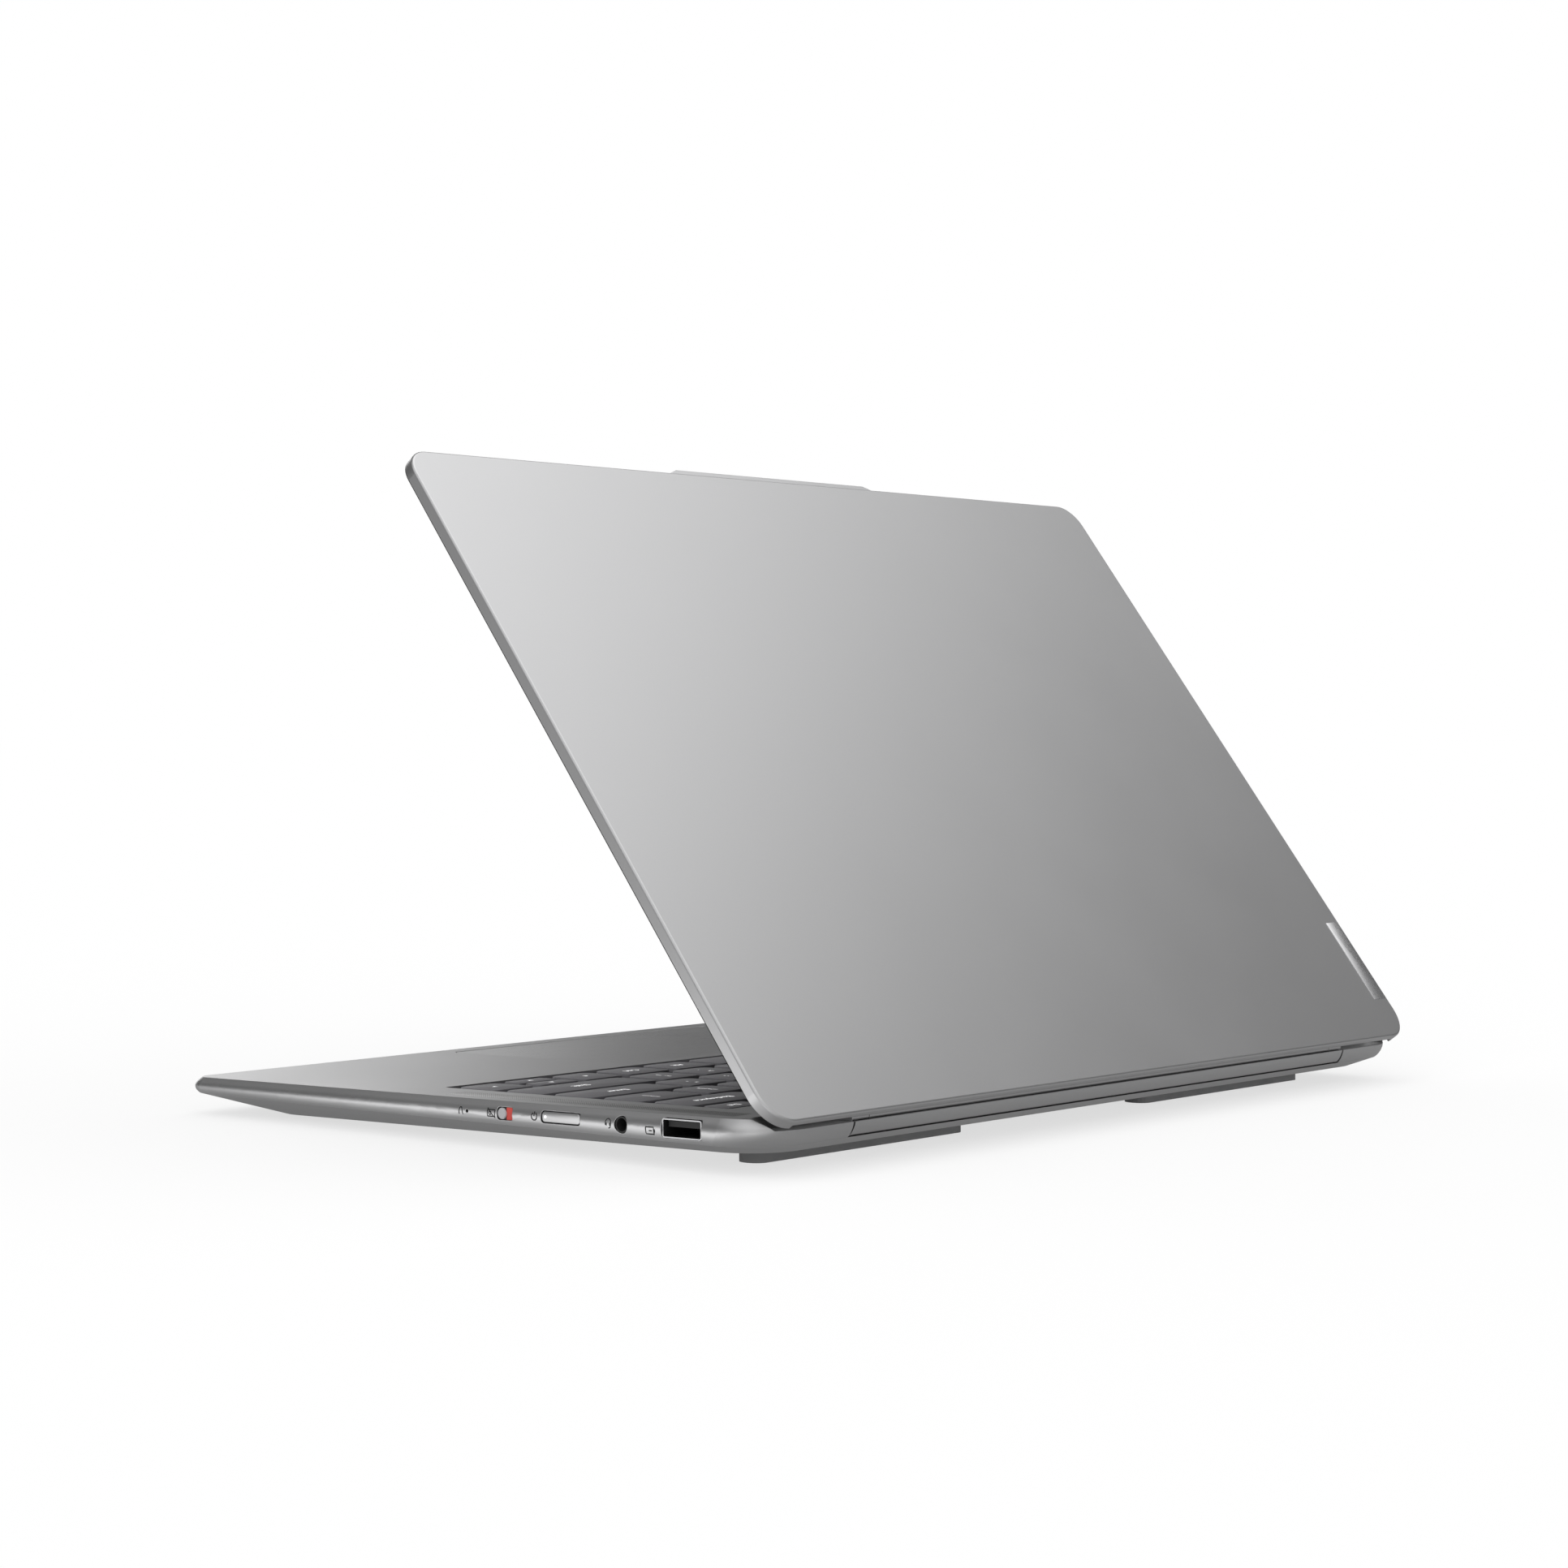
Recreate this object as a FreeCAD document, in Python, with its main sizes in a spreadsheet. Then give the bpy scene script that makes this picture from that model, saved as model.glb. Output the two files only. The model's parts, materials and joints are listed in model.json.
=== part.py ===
"""A slim aluminium laptop computer, lid half open, resting on its rubber feet.

The base is drawn flat: X to the user's right, Y to the rear, Z up from the underside, origin at the
middle of the base. The lid is drawn shut on the base. Finished pieces are then stood on their feet,
which tip the base forward a little, and the lid's pieces are first swung open about the hinge.
"""
import FreeCAD, Part
import os
import re
import Sketcher

SIZES = (
    # Base shell
    ("base_width", 325.5), ("base_depth", 224.6), ("deck_height", 10.0), ("deck_wall", 1.4),
    ("seam_height", 3.95), ("seam_slope", 0.71), ("rim_side", 1.93), ("rim_front", 1.0), ("rim_peak", 0.55),
    ("heel_sweep", 2.4), ("corner_front", 5.5), ("corner_rear", 16.0), ("cavity_wall", 4.2),
    ("cavity_corner", 8.0), ("belly_side", 9.3), ("belly_front", 24.0), ("belly_rear", 8.6),
    ("belly_corner", 14.0), ("pan_corner", 4.0), ("pan_wall", 2.0), ("floor_wall", 1.2), ("part_gap", 0.3),
    ("cut_past", 2.0),
    # Rear shelf, hinge line and the strip behind it
    ("step_inset", 9.8), ("step_run", 2.6), ("shelf_height", 6.9), ("shelf_side", 7.55),
    ("shelf_corner", 4.0), ("ear_run", 3.7), ("strip_depth", 6.1), ("hinge_inset", 3.2), ("hinge_z", 7.8),
    ("tube_radius", 2.2), ("tube_inset", 44.75), ("knuckle_width", 7.5), ("pin_radius", 1.2),
    ("pin_length", 18.0), ("pin_play", 0.05), ("bracket_lap", 17.0), ("bracket_reach", 24.3),
    ("bracket_wall", 2.0), ("lid_arm_length", 37.0), ("arm_low", 5.9), ("arm_high", 8.0), ("arm_way", 3.0),
    ("heat_room_reach", 4.0), ("vent_width", 4.0), ("vent_pitch", 5.6), ("vent_low", 3.7), ("vent_high", 5.7),
    ("vent_start", 28.0), ("vent_run", 3.0),
    # Stance on the feet
    ("stand_tilt", 1.087), ("foot_drop", 3.03), ("rear_foot_side", 25.15), ("rear_foot_length", 92.2),
    ("rear_foot_inset", 23.4), ("rear_foot_depth", 8.6), ("rear_foot_corner", 3.9),
    ("front_foot_side", 19.75), ("front_foot_inset", 31.8), ("front_foot_depth", 6.4),
    ("front_foot_corner", 2.9),
    # Lid
    ("lid_open", 54.0), ("lid_front_inset", 0.5), ("lid_rear_inset", 0.9), ("lid_gap", 0.3),
    ("lid_thickness", 3.7), ("lid_corner_top", 8.5), ("lid_corner_bottom", 10.0), ("lid_edge_round", 0.7),
    ("lid_back", 1.0), ("lid_rim", 1.6), ("lid_lip", 2.0), ("lid_lip_run", 3.9), ("chin_wall", 1.5),
    ("grip_half_base", 50.4), ("grip_half_tip", 46.0), ("grip_reach", 1.8), ("grip_drop", 0.8),
    ("gasket_height", 0.3), ("gasket_width", 1.4), ("gasket_inset", 0.4), ("gasket_corner", 8.0),
    ("bezel_thick", 0.5), ("view_side", 6.6), ("view_inset", 9.0), ("view_chin", 19.0),
    ("panel_margin", 2.4), ("panel_thick", 1.7), ("camera_half", 22.0), ("camera_depth", 2.6),
    ("lens_radius", 1.5),
    # Keyboard
    ("key_side", 20.475), ("row_pitch", 18.6), ("function_pitch", 12.4), ("key_space", 2.9), ("key_top", 9.9),
    ("cap_thick", 1.3), ("key_travel", 1.3), ("sleeve_radius", 3.4), ("sleeve_bore", 2.2), ("post_play", 0.2),
    ("keyboard_inset", 29.3), ("keyboard_edge", 0.7), ("well_corner", 1.2), ("plate_top", 5.7),
    ("plate_thick", 0.8), ("plate_wall", 1.6),
    # Trackpad
    ("pad_half", 60.0), ("pad_inset", 8.3), ("pad_gap", 6.6), ("pad_thick", 1.5), ("pad_play", 0.35),
    ("pad_travel", 0.35), ("pad_corner", 3.0), ("pad_flange", 3.0), ("pad_switch_radius", 4.5),
    ("pad_switch_inset", 18.0), ("pad_tray", 1.9), ("pad_tray_wall", 0.8),
    # Speaker grilles beside the keys
    ("grille_side", 6.35), ("grille_width", 8.0), ("grille_inset", 15.6), ("grille_length", 105.7),
    ("rib_pitch", 1.05), ("rib_slot", 0.5), ("rib_depth", 0.6), ("grille_edge", 0.5), ("grille_thick", 1.0),
    # Sockets and switches in the sides
    ("usb_inset", 28.24), ("usb_z", 6.45), ("usb_width", 13.6), ("usb_height", 5.1), ("usb_corner", 0.7),
    ("socket_depth", 14.0), ("shell_wall", 0.35), ("socket_play", 0.15), ("socket_sink", 0.5),
    ("tongue_thick", 1.9), ("tongue_sink", 1.4), ("jack_inset", 49.37), ("jack_z", 6.36), ("jack_bore", 1.78),
    ("jack_radius", 2.2), ("jack_half", 3.0), ("jack_depth", 13.0), ("jack_back", 1.0),
    ("button_inset", 71.33), ("button_z", 6.8), ("button_length", 14.1), ("button_height", 3.0),
    ("button_corner", 0.75), ("button_play", 0.2), ("button_sink", 0.25), ("button_travel", 0.5),
    ("slider_inset", 93.36),
    ("slider_z", 6.75), ("slider_radius", 1.6), ("slider_travel", 2.3), ("slot_play", 0.2),
    ("slot_corner", 0.8), ("slot_margin", 1.2), ("pinhole_inset", 106.6), ("pinhole_radius", 0.5),
    ("hdmi_inset", 36.3), ("hdmi_width", 14.6), ("hdmi_height", 4.8), ("type_c_inset", 62.3),
    ("type_c_pitch", 18.0), ("type_c_width", 8.9), ("type_c_height", 3.2), ("type_c_corner", 1.51),
    ("type_c_z", 6.2),
    # Boards, cooling, battery and speakers
    ("board_top", 4.0), ("board_thick", 0.8), ("board_gap", 2.0), ("board_inset", 28.3),
    ("board_depth", 82.0), ("boss_radius", 2.2), ("boss_inset", 5.0), ("card_inset", 4.0),
    ("card_width", 22.0), ("card_thick", 1.3), ("ssd_length", 42.0), ("radio_length", 30.0),
    ("chip_half", 19.0), ("chip_inset", 12.0), ("chip_depth", 38.0),
("io_side", 42.75), ("io_inset", 3.5), ("io_depth", 79.0), ("io_rear_inset", 20.3),
    ("io_post_side", 12.75), ("io_post_reach", 5.93), ("io_post_radius", 1.5), ("fan_side", 72.75),
    ("fan_inset", 54.3), ("fan_half", 27.0), ("fan_low", 1.7), ("fan_high", 4.9), ("fan_skin", 0.5),
    ("fan_eye", 14.5), ("fan_mouth", 35.0), ("fan_post", 1.5), ("bridge_depth", 6.0), ("rotor_radius", 23.5),
    ("rotor_hub", 9.0), ("rotor_play", 0.4), ("blade_thick", 0.6), ("blade_count", 17),
    ("intake_length", 37.6), ("intake_width", 2.0), ("fin_reach", 24.0), ("fin_width", 32.0),
    ("fin_inset", 11.9), ("fin_depth", 9.6), ("fin_pitch", 2.0), ("fin_thick", 0.4), ("pipe_depth", 4.6),
    ("pipe_thick", 1.4), ("battery_side", 22.75), ("battery_inset", 27.3), ("battery_gap", 4.6),
    ("battery_high", 5.9), ("battery_corner", 1.5), ("speaker_side", 15.15), ("speaker_inset", 44.3),
    ("speaker_rear_inset", 109.3), ("screw_head", 2.2), ("screw_shank", 1.0), ("screw_sink", 0.3),
    ("head_depth", 0.9), ("screw_side_inset", 14.15), ("screw_front_inset", 33.3), ("screw_gap", 5.0),
    ("screw_rear_inset", 15.5), ("column_radius", 2.0),
)

# Fifteen key widths across, five full rows and a shallow row of function keys
KEYS_ACROSS = 15
FULL_ROWS = 5
HALF_WIDTH = "base_width / 2"
FRONT = "-base_depth / 2"
REAR = "base_depth / 2"

# Places that follow the base's width and depth, or a neighbour
PLACES = {
    "key_pitch": f"(base_width - 2 * key_side) / {KEYS_ACROSS}",
    "keyboard_front": f"{REAR} - keyboard_inset - {FULL_ROWS} * row_pitch - function_pitch",
    "step_start": f"{REAR} - step_inset",
    "shelf_half": f"{HALF_WIDTH} - shelf_side",
    "strip_front": f"{REAR} - strip_depth",
    "hinge_y": f"{REAR} - hinge_inset",
    "tube_half": f"{HALF_WIDTH} - tube_inset",
    "strip_half": "tube_half + knuckle_width",
    "bracket_inner": "tube_half - bracket_lap",
    "bracket_front": f"{REAR} - bracket_reach",
    "lid_arm_inner": "tube_half - lid_arm_length",
    "heat_room_front": "step_start - heat_room_reach",
    "rear_foot_outer": f"{HALF_WIDTH} - rear_foot_side",
    "rear_foot_inner": "rear_foot_outer - rear_foot_length",
    "rear_foot_rear": f"{REAR} - rear_foot_inset",
    "front_foot_half": f"{HALF_WIDTH} - front_foot_side",
    "front_foot_rear": f"{FRONT} + front_foot_inset",
    "lid_front": f"{FRONT} + lid_front_inset",
    "lid_rear": f"{REAR} - lid_rear_inset",
    "view_half": f"{HALF_WIDTH} - view_side",
    "view_front": "lid_front + view_inset",
    "view_rear": "lid_rear - view_chin",
    "pad_front": f"{FRONT} + pad_inset",
    "pad_rear": "keyboard_front - pad_gap",
    "pad_switch_y": "pad_front + pad_switch_inset",
    "grille_outer": f"{HALF_WIDTH} - grille_side",
    "grille_inner": "grille_outer - grille_width",
    "grille_rear": f"{REAR} - grille_inset",
    "grille_front": "grille_rear - grille_length",
    "usb_y": f"{REAR} - usb_inset",
    "jack_y": f"{REAR} - jack_inset",
    "button_y": f"{REAR} - button_inset",
    "slider_y": f"{REAR} - slider_inset",
    "pinhole_y": f"{REAR} - pinhole_inset",
    "hdmi_y": f"{REAR} - hdmi_inset",
    "type_c_y": f"{REAR} - type_c_inset",
    "fan_x": f"{HALF_WIDTH} - fan_side",
    "fan_y": f"{REAR} - fan_inset",
    "fin_inner": "fan_x - fin_reach",
    "fin_outer": "fin_inner + fin_width",
    "fin_rear": f"{REAR} - fin_inset",
    "fin_front": "fin_rear - fin_depth",
    "board_half": "fan_x - fan_half - board_gap",
    "board_rear": f"{REAR} - board_inset",
    "board_front": "board_rear - board_depth",
    "chip_rear": "board_rear - chip_inset",
    "chip_front": "chip_rear - chip_depth",
    "io_inner": f"{HALF_WIDTH} - io_side",
    "io_rear": f"{REAR} - io_rear_inset",
    "io_front": "io_rear - io_depth",
    "io_post_x": f"{HALF_WIDTH} - io_post_side",
    "io_post_y": "jack_y - io_post_reach",
    "battery_half": f"{HALF_WIDTH} - battery_side",
    "battery_front": f"{FRONT} + battery_inset",
    "battery_rear": "keyboard_front - battery_gap",
    "speaker_inner": f"{HALF_WIDTH} - speaker_side",
    "speaker_front": f"{FRONT} + speaker_inset",
    "speaker_rear": f"{REAR} - speaker_rear_inset",
    "screw_side": f"{HALF_WIDTH} - screw_side_inset",
    "screw_front": f"{FRONT} + screw_front_inset",
    "screw_middle": "speaker_rear + screw_gap",
    "screw_rear": f"{REAR} - screw_rear_inset",
}

doc = FreeCAD.newDocument("laptop")
dims = doc.addObject("Spreadsheet::Sheet", "dims")
for line, (alias, number) in enumerate(SIZES, start=1):
    dims.set(f"A{line}", alias)
    dims.set(f"B{line}", str(number))
    dims.setAlias(f"B{line}", alias)
doc.recompute()

UP = FreeCAD.Vector(0, 0, 1)
RIGHT = FreeCAD.Vector(1, 0, 0)
ALONG = {"x": FreeCAD.Rotation(UP, RIGHT), "z": FreeCAD.Rotation()}
SIDES = (("left", -1), ("right", 1))
nodes = []


def formula(text):
    """A formula with every place written out in sizes, and each size pointing at its cell."""
    def written_out(word):
        name = word.group(0)
        return f"({formula(PLACES[name])})" if name in PLACES else f"dims.{name}"
    return re.sub(r"\b[a-z]+(?:_[a-z]+)+\b", written_out, text)


def size(text):
    """The value of a formula on the named sizes."""
    return float(dims.evalExpression(formula(text)))


def span(side, low, high):
    """A stretch of X on the right, or its mirror image on the left."""
    return (low, high) if side > 0 else (f"-({high})", f"-({low})")


def around(middle, width):
    """A stretch with its middle and width given."""
    return f"{middle} - ({width}) / 2", f"{middle} + ({width}) / 2"


def even(half):
    """A stretch that reaches equally far to both sides."""
    return f"-({half})", half


def widened(stretch, play):
    """A stretch made longer by the play at each end."""
    return f"{stretch[0]} - ({play})", f"{stretch[1]} + ({play})"


def block(name, x, y, z):
    """A box between low and high formulas on each axis."""
    box = doc.addObject("Part::Box", name)
    for edge, axis, (low, high) in zip(("Length", "Width", "Height"), "xyz", (x, y, z)):
        box.setExpression(edge, formula(f"({high}) - ({low})"))
        box.setExpression(f"Placement.Base.{axis}", formula(low))
    return box


def rod(name, axis, centre, stretch, radius):
    """A cylinder along X or Z; centre holds the other two coordinates in order."""
    cylinder = doc.addObject("Part::Cylinder", name)
    cylinder.Placement = FreeCAD.Placement(FreeCAD.Vector(), ALONG[axis])
    low, high = stretch
    place = dict(zip("yz" if axis == "x" else "xy", centre))
    place[axis] = low
    for letter, text in place.items():
        cylinder.setExpression(f"Placement.Base.{letter}", formula(text))
    cylinder.setExpression("Radius", formula(radius))
    cylinder.setExpression("Height", formula(f"({high}) - ({low})"))
    return cylinder


def group(name, pieces):
    """Several solids side by side as one object."""
    compound = doc.addObject("Part::Compound", name)
    compound.Links = pieces
    return compound


def join(name, pieces):
    """Pieces that touch or overlap, made one."""
    fuse = doc.addObject("Part::MultiFuse", name)
    fuse.Shapes = pieces
    return fuse


def carve(name, base, tools):
    """A piece with every tool's volume taken away."""
    cut = doc.addObject("Part::Cut", name)
    cut.Base = base
    cut.Tool = tools[0] if len(tools) == 1 else join(name + "_tools", tools)
    return cut


def overlap(name, first, second):
    """The volume that two pieces share."""
    common = doc.addObject("Part::Common", name)
    common.Base = first
    common.Tool = second
    return common


def new_sketch(body, name, plane, offset):
    """A sketch on one of the body's own planes, moved along its normal."""
    sketch = body.newObject("Sketcher::SketchObject", name)
    support = next(part for part in body.Origin.OriginFeatures if part.Role == plane)
    sketch.AttachmentSupport = (support, [""])
    sketch.MapMode = "FlatFace"
    sketch.setExpression("AttachmentOffset.Base.z", formula(offset))
    return sketch


def fix(sketch, kind, target, text):
    """A driving dimension of a sketch, tied to a formula."""
    index = sketch.addConstraint(Sketcher.Constraint(kind, *target, size(text)))
    sketch.setExpression(f"Constraints[{index}]", formula(text))


def draw_polygon(sketch, corners):
    """A closed outline of straight lines through corners given as formulas."""
    points = [FreeCAD.Vector(size(u), size(v), 0) for u, v in corners]
    for start, end in zip(points, points[1:] + points[:1]):
        sketch.addGeometry(Part.LineSegment(start, end))
    for index, (u, v) in enumerate(corners):
        before = (index - 1) % len(corners)
        sketch.addConstraint(Sketcher.Constraint("Coincident", before, 2, index, 1))
        fix(sketch, "DistanceX", (-1, 1, index, 1), u)
        fix(sketch, "DistanceY", (-1, 1, index, 1), v)


def draw_rounded(sketch, u, v, low_radius, high_radius):
    """A rectangle with one corner radius on its low side and one on its high side."""
    left, right = size(u[0]), size(u[1])
    low, high = size(v[0]), size(v[1])
    small, large = size(low_radius), size(high_radius)
    runs = (((left + small, low), (right - small, low)), ((right, low + small), (right, high - large)),
            ((right - large, high), (left + large, high)), ((left, high - large), (left, low + small)))
    turns = ((right - small, low + small, small, 270), (right - large, high - large, large, 0),
             (left + large, high - large, large, 90), (left + small, low + small, small, 180))
    for (start, end), (across, along, radius, begin) in zip(runs, turns):
        sketch.addGeometry(Part.LineSegment(FreeCAD.Vector(*start, 0), FreeCAD.Vector(*end, 0)))
        circle = Part.Circle(FreeCAD.Vector(across, along, 0), UP, radius)
        first = FreeCAD.Units.Quantity(f"{begin} deg").getValueAs("rad").Value
        last = FreeCAD.Units.Quantity(f"{begin + 90} deg").getValueAs("rad").Value
        sketch.addGeometry(Part.ArcOfCircle(circle, first, last))
    for side in range(4):
        straight, curve = 2 * side, 2 * side + 1
        sketch.addConstraint(Sketcher.Constraint("Tangent", straight, 2, curve, 1))
        sketch.addConstraint(Sketcher.Constraint("Tangent", curve, 2, (straight + 2) % 8, 1))
        sketch.addConstraint(Sketcher.Constraint("Vertical" if side % 2 else "Horizontal", straight))
        fix(sketch, "Radius", (curve,), low_radius if side in (0, 3) else high_radius)
    fix(sketch, "DistanceY", (-1, 1, 0, 1), v[0])
    fix(sketch, "DistanceX", (-1, 1, 2, 1), u[1])
    fix(sketch, "DistanceY", (-1, 1, 4, 1), v[1])
    fix(sketch, "DistanceX", (-1, 1, 6, 1), u[0])


def padded(body, sketch, length):
    """Push a body's sketch out along its normal."""
    pad = body.newObject("PartDesign::Pad", sketch.Name + "_pad")
    pad.Profile = sketch
    pad.setExpression("Length", formula(length))
    return body


def prism(name, corners, x):
    """A side-view outline, drawn in Y and Z, carried along X."""
    body = doc.addObject("PartDesign::Body", name)
    sketch = new_sketch(body, name + "_outline", "YZ_Plane", x[0])
    draw_polygon(sketch, corners)
    return padded(body, sketch, f"({x[1]}) - ({x[0]})")


def slab(name, x, y, z, low_radius, high_radius=None):
    """A plate with rounded corners in plan."""
    body = doc.addObject("PartDesign::Body", name)
    sketch = new_sketch(body, name + "_outline", "XY_Plane", z[0])
    draw_rounded(sketch, x, y, low_radius, high_radius or low_radius)
    return padded(body, sketch, f"({z[1]}) - ({z[0]})")


def side_slab(name, x, y, z, radius):
    """A plate that stands across X, with rounded corners in the side view."""
    body = doc.addObject("PartDesign::Body", name)
    sketch = new_sketch(body, name + "_outline", "YZ_Plane", x[0])
    draw_rounded(sketch, y, z, radius, radius)
    return padded(body, sketch, f"({x[1]}) - ({x[0]})")


def node(label, piece, on_lid=False):
    """Name a finished piece and note which half of the laptop carries it."""
    holder = group(label + "_node", [piece])
    holder.Label = label
    nodes.append((holder, on_lid))


# Outer form of the base: rounded outlines from the deck down to the seam, where the covers meet
RIM_SHARES = (0.0, 0.2, 0.45, 0.7, 1.0)


def rim_outline(body, name, share):
    """The base's outline at a share of the way from the deck to the tilted seam."""
    swell = f"pow(({share} - rim_peak) / rim_peak; 2)"
    sketch = new_sketch(body, name, "XY_Plane", f"deck_height - {share} * (deck_height - seam_height)")
    turn = FreeCAD.Rotation(RIGHT, -share)
    sketch.AttachmentOffset = FreeCAD.Placement(sketch.AttachmentOffset.Base, turn)
    sketch.setExpression("AttachmentOffset.Rotation.Angle", formula(f"-seam_slope * {share}"))
    depth = (f"{FRONT} + rim_front * {swell}", f"{REAR} - heel_sweep * pow({share}; 3)")
    draw_rounded(sketch, even(f"{HALF_WIDTH} - rim_side * {swell}"), depth, "corner_front", "corner_rear")
    return sketch


def loft(body, outlines):
    """A skin through a body's outlines, in order."""
    skin = body.newObject("PartDesign::AdditiveLoft", body.Name + "_skin")
    skin.Profile = outlines[0]
    skin.Sections = outlines[1:]
    return body


deck_form = doc.addObject("PartDesign::Body", "deck_form")
loft(deck_form, [rim_outline(deck_form, f"rim_{step}", share) for step, share in enumerate(RIM_SHARES)])

belly_form = doc.addObject("PartDesign::Body", "belly_form")
belly_top = rim_outline(belly_form, "belly_top", 1.0)
belly_base = new_sketch(belly_form, "belly_base", "XY_Plane", "0")
draw_rounded(belly_base, even(f"{HALF_WIDTH} - belly_side"),
             (f"{FRONT} + belly_front", f"{REAR} - belly_rear"), "belly_corner", "belly_corner")
loft(belly_form, [belly_top, belly_base])

# The deck steps down to a low shelf along the rear, which the lid's lower edge passes behind; at each end an
# ear of the deck keeps its height and slopes down to the shelf
ABOVE = "deck_height + cut_past"
BELOW = "-cut_past"
BEHIND = f"{REAR} + cut_past"
SIDE_OUT = f"{HALF_WIDTH} + cut_past"
shelf = doc.addObject("PartDesign::Body", "shelf")
shelf_floor = new_sketch(shelf, "shelf_floor", "XY_Plane", "shelf_height")
draw_rounded(shelf_floor, even("shelf_half"), ("step_start + step_run", f"{BEHIND} + shelf_corner"),
             "shelf_corner", "shelf_corner")
shelf_mouth = new_sketch(shelf, "shelf_mouth", "XY_Plane", "2 * deck_height - shelf_height")
draw_rounded(shelf_mouth, even("shelf_half + 2 * ear_run"),
             ("step_start - step_run", f"{BEHIND} + shelf_corner"), "shelf_corner", "shelf_corner")
loft(shelf, [shelf_floor, shelf_mouth])
stepped_form = carve("stepped_form", deck_form, [shelf])

# Keyboard field, trackpad and side openings in the deck
KEY_LEFT = f"-key_pitch * {KEYS_ACROSS} / 2"
KEY_RIGHT = f"key_pitch * {KEYS_ACROSS} / 2"
KEY_REAR = f"keyboard_front + {FULL_ROWS} * row_pitch + function_pitch"
WELL_X = widened((KEY_LEFT, KEY_RIGHT), "keyboard_edge")
WELL_Y = widened(("keyboard_front", KEY_REAR), "keyboard_edge")
PAD_X = even("pad_half")
PAD_Y = ("pad_front", "pad_rear")
DECK_UNDER = "deck_height - deck_wall"
CAVITY_X = f"{HALF_WIDTH} - cavity_wall"
MOUTH = f"{HALF_WIDTH} - socket_sink"
USB_Y, USB_Z = around("usb_y", "usb_width"), around("usb_z", "usb_height")
HDMI_Y, HDMI_Z = around("hdmi_y", "hdmi_width"), around("usb_z", "hdmi_height")
TYPE_C_YS = [around(f"type_c_y - {index} * type_c_pitch", "type_c_width") for index in range(2)]
TYPE_C_Z = around("type_c_z", "type_c_height")
BUTTON_Y, BUTTON_Z = around("button_y", "button_length"), around("button_z", "button_height")
SLOT_Y = widened(("slider_y", "slider_y + slider_travel"), "slider_radius + slot_play")
SLOT_Z = around("slider_z", "2 * slider_radius + 2 * slot_play")
SCREW_YS = ("screw_front", "screw_middle", "screw_rear")
SCREWS = [(f"{side} * screw_side", y) for side in (-1, 1) for y in SCREW_YS] + [("0", "screw_rear")]
VENTS = int(size("(tube_half - vent_start) / vent_pitch"))


def side_hole(name, side, y, z, radius):
    """A rounded hole through the base's side wall."""
    return side_slab(name, span(side, f"{MOUTH} - socket_depth - cut_past", SIDE_OUT), y, z, radius)


def socket_hole(name, side, y, z, radius):
    """The hole for a socket, a little larger than its shell."""
    return side_hole(name, side, widened(y, "socket_play"), widened(z, "socket_play"),
                     f"{radius} + socket_play")


def screw_rods(name, radius, z):
    """One upright rod at each screw of the bottom cover."""
    return group(name, [rod(f"{name}_{count}", "z", place, z, radius) for count, place in enumerate(SCREWS)])


deck_cuts = [
    slab("cavity", even(CAVITY_X), (f"{FRONT} + cavity_wall", "step_start - deck_wall"), (BELOW, DECK_UNDER),
         "cavity_corner"),
    block("heat_room", even("tube_half"), ("heat_room_front", "strip_front - deck_wall"),
          (BELOW, "vent_high + part_gap")),
    slab("key_well", WELL_X, WELL_Y, ("plate_top", ABOVE), "well_corner"),
    slab("pad_well", widened(PAD_X, "pad_play"), widened(PAD_Y, "pad_play"), ("plate_top", ABOVE),
         "pad_corner + pad_play"),
    block("strip_notch", even("strip_half + part_gap"), ("strip_front - part_gap", BEHIND), (BELOW, ABOVE)),
    socket_hole("usb_hole", 1, USB_Y, USB_Z, "usb_corner"),
    socket_hole("hdmi_hole", -1, HDMI_Y, HDMI_Z, "usb_corner"),
    side_hole("button_hole", 1, widened(BUTTON_Y, "button_play"), widened(BUTTON_Z, "button_play"),
              "button_corner + button_play"),
    side_hole("slider_slot", 1, SLOT_Y, SLOT_Z, "slot_corner"),
    rod("jack_hole", "x", ("jack_y", "jack_z"), (f"{HALF_WIDTH} - jack_depth", SIDE_OUT),
        "jack_radius + socket_play"),
    rod("pinhole", "x", ("pinhole_y", "slider_z"), (f"{CAVITY_X} - cut_past", SIDE_OUT), "pinhole_radius"),
]
for index, row in enumerate(TYPE_C_YS):
    deck_cuts.append(socket_hole(f"type_c_hole_{index}", -1, row, TYPE_C_Z, "type_c_corner"))
for label, side in SIDES:
    deck_cuts.append(block(f"grille_well_{label}", span(side, "grille_inner", "grille_outer"),
                           ("grille_front", "grille_rear"), ("deck_height - grille_thick", ABOVE)))
    deck_cuts.append(block(f"arm_way_{label}", span(side, "tube_half", "strip_half + part_gap"),
                           ("step_start - arm_way", "strip_front + cut_past"),
                           ("arm_low - part_gap", "arm_high + part_gap")))
    for count in range(VENTS):
        left = f"vent_start + {count} * vent_pitch"
        deck_cuts.append(block(f"vent_{label}_{count}", span(side, left, f"{left} + vent_width"),
                               ("strip_front - vent_run", "strip_front + cut_past"),
                               ("vent_low", "vent_high")))
shell = carve("deck_shell", stepped_form, deck_cuts)
columns = screw_rods("deck_columns", "column_radius", ("floor_wall", f"{DECK_UNDER} + part_gap / 2"))
threads = screw_rods("deck_threads", "screw_shank", (BELOW, "seam_height + screw_shank"))
node("keyboard_deck", carve("deck_drilled", join("deck_with_columns", [shell, columns]), [threads]))

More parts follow.
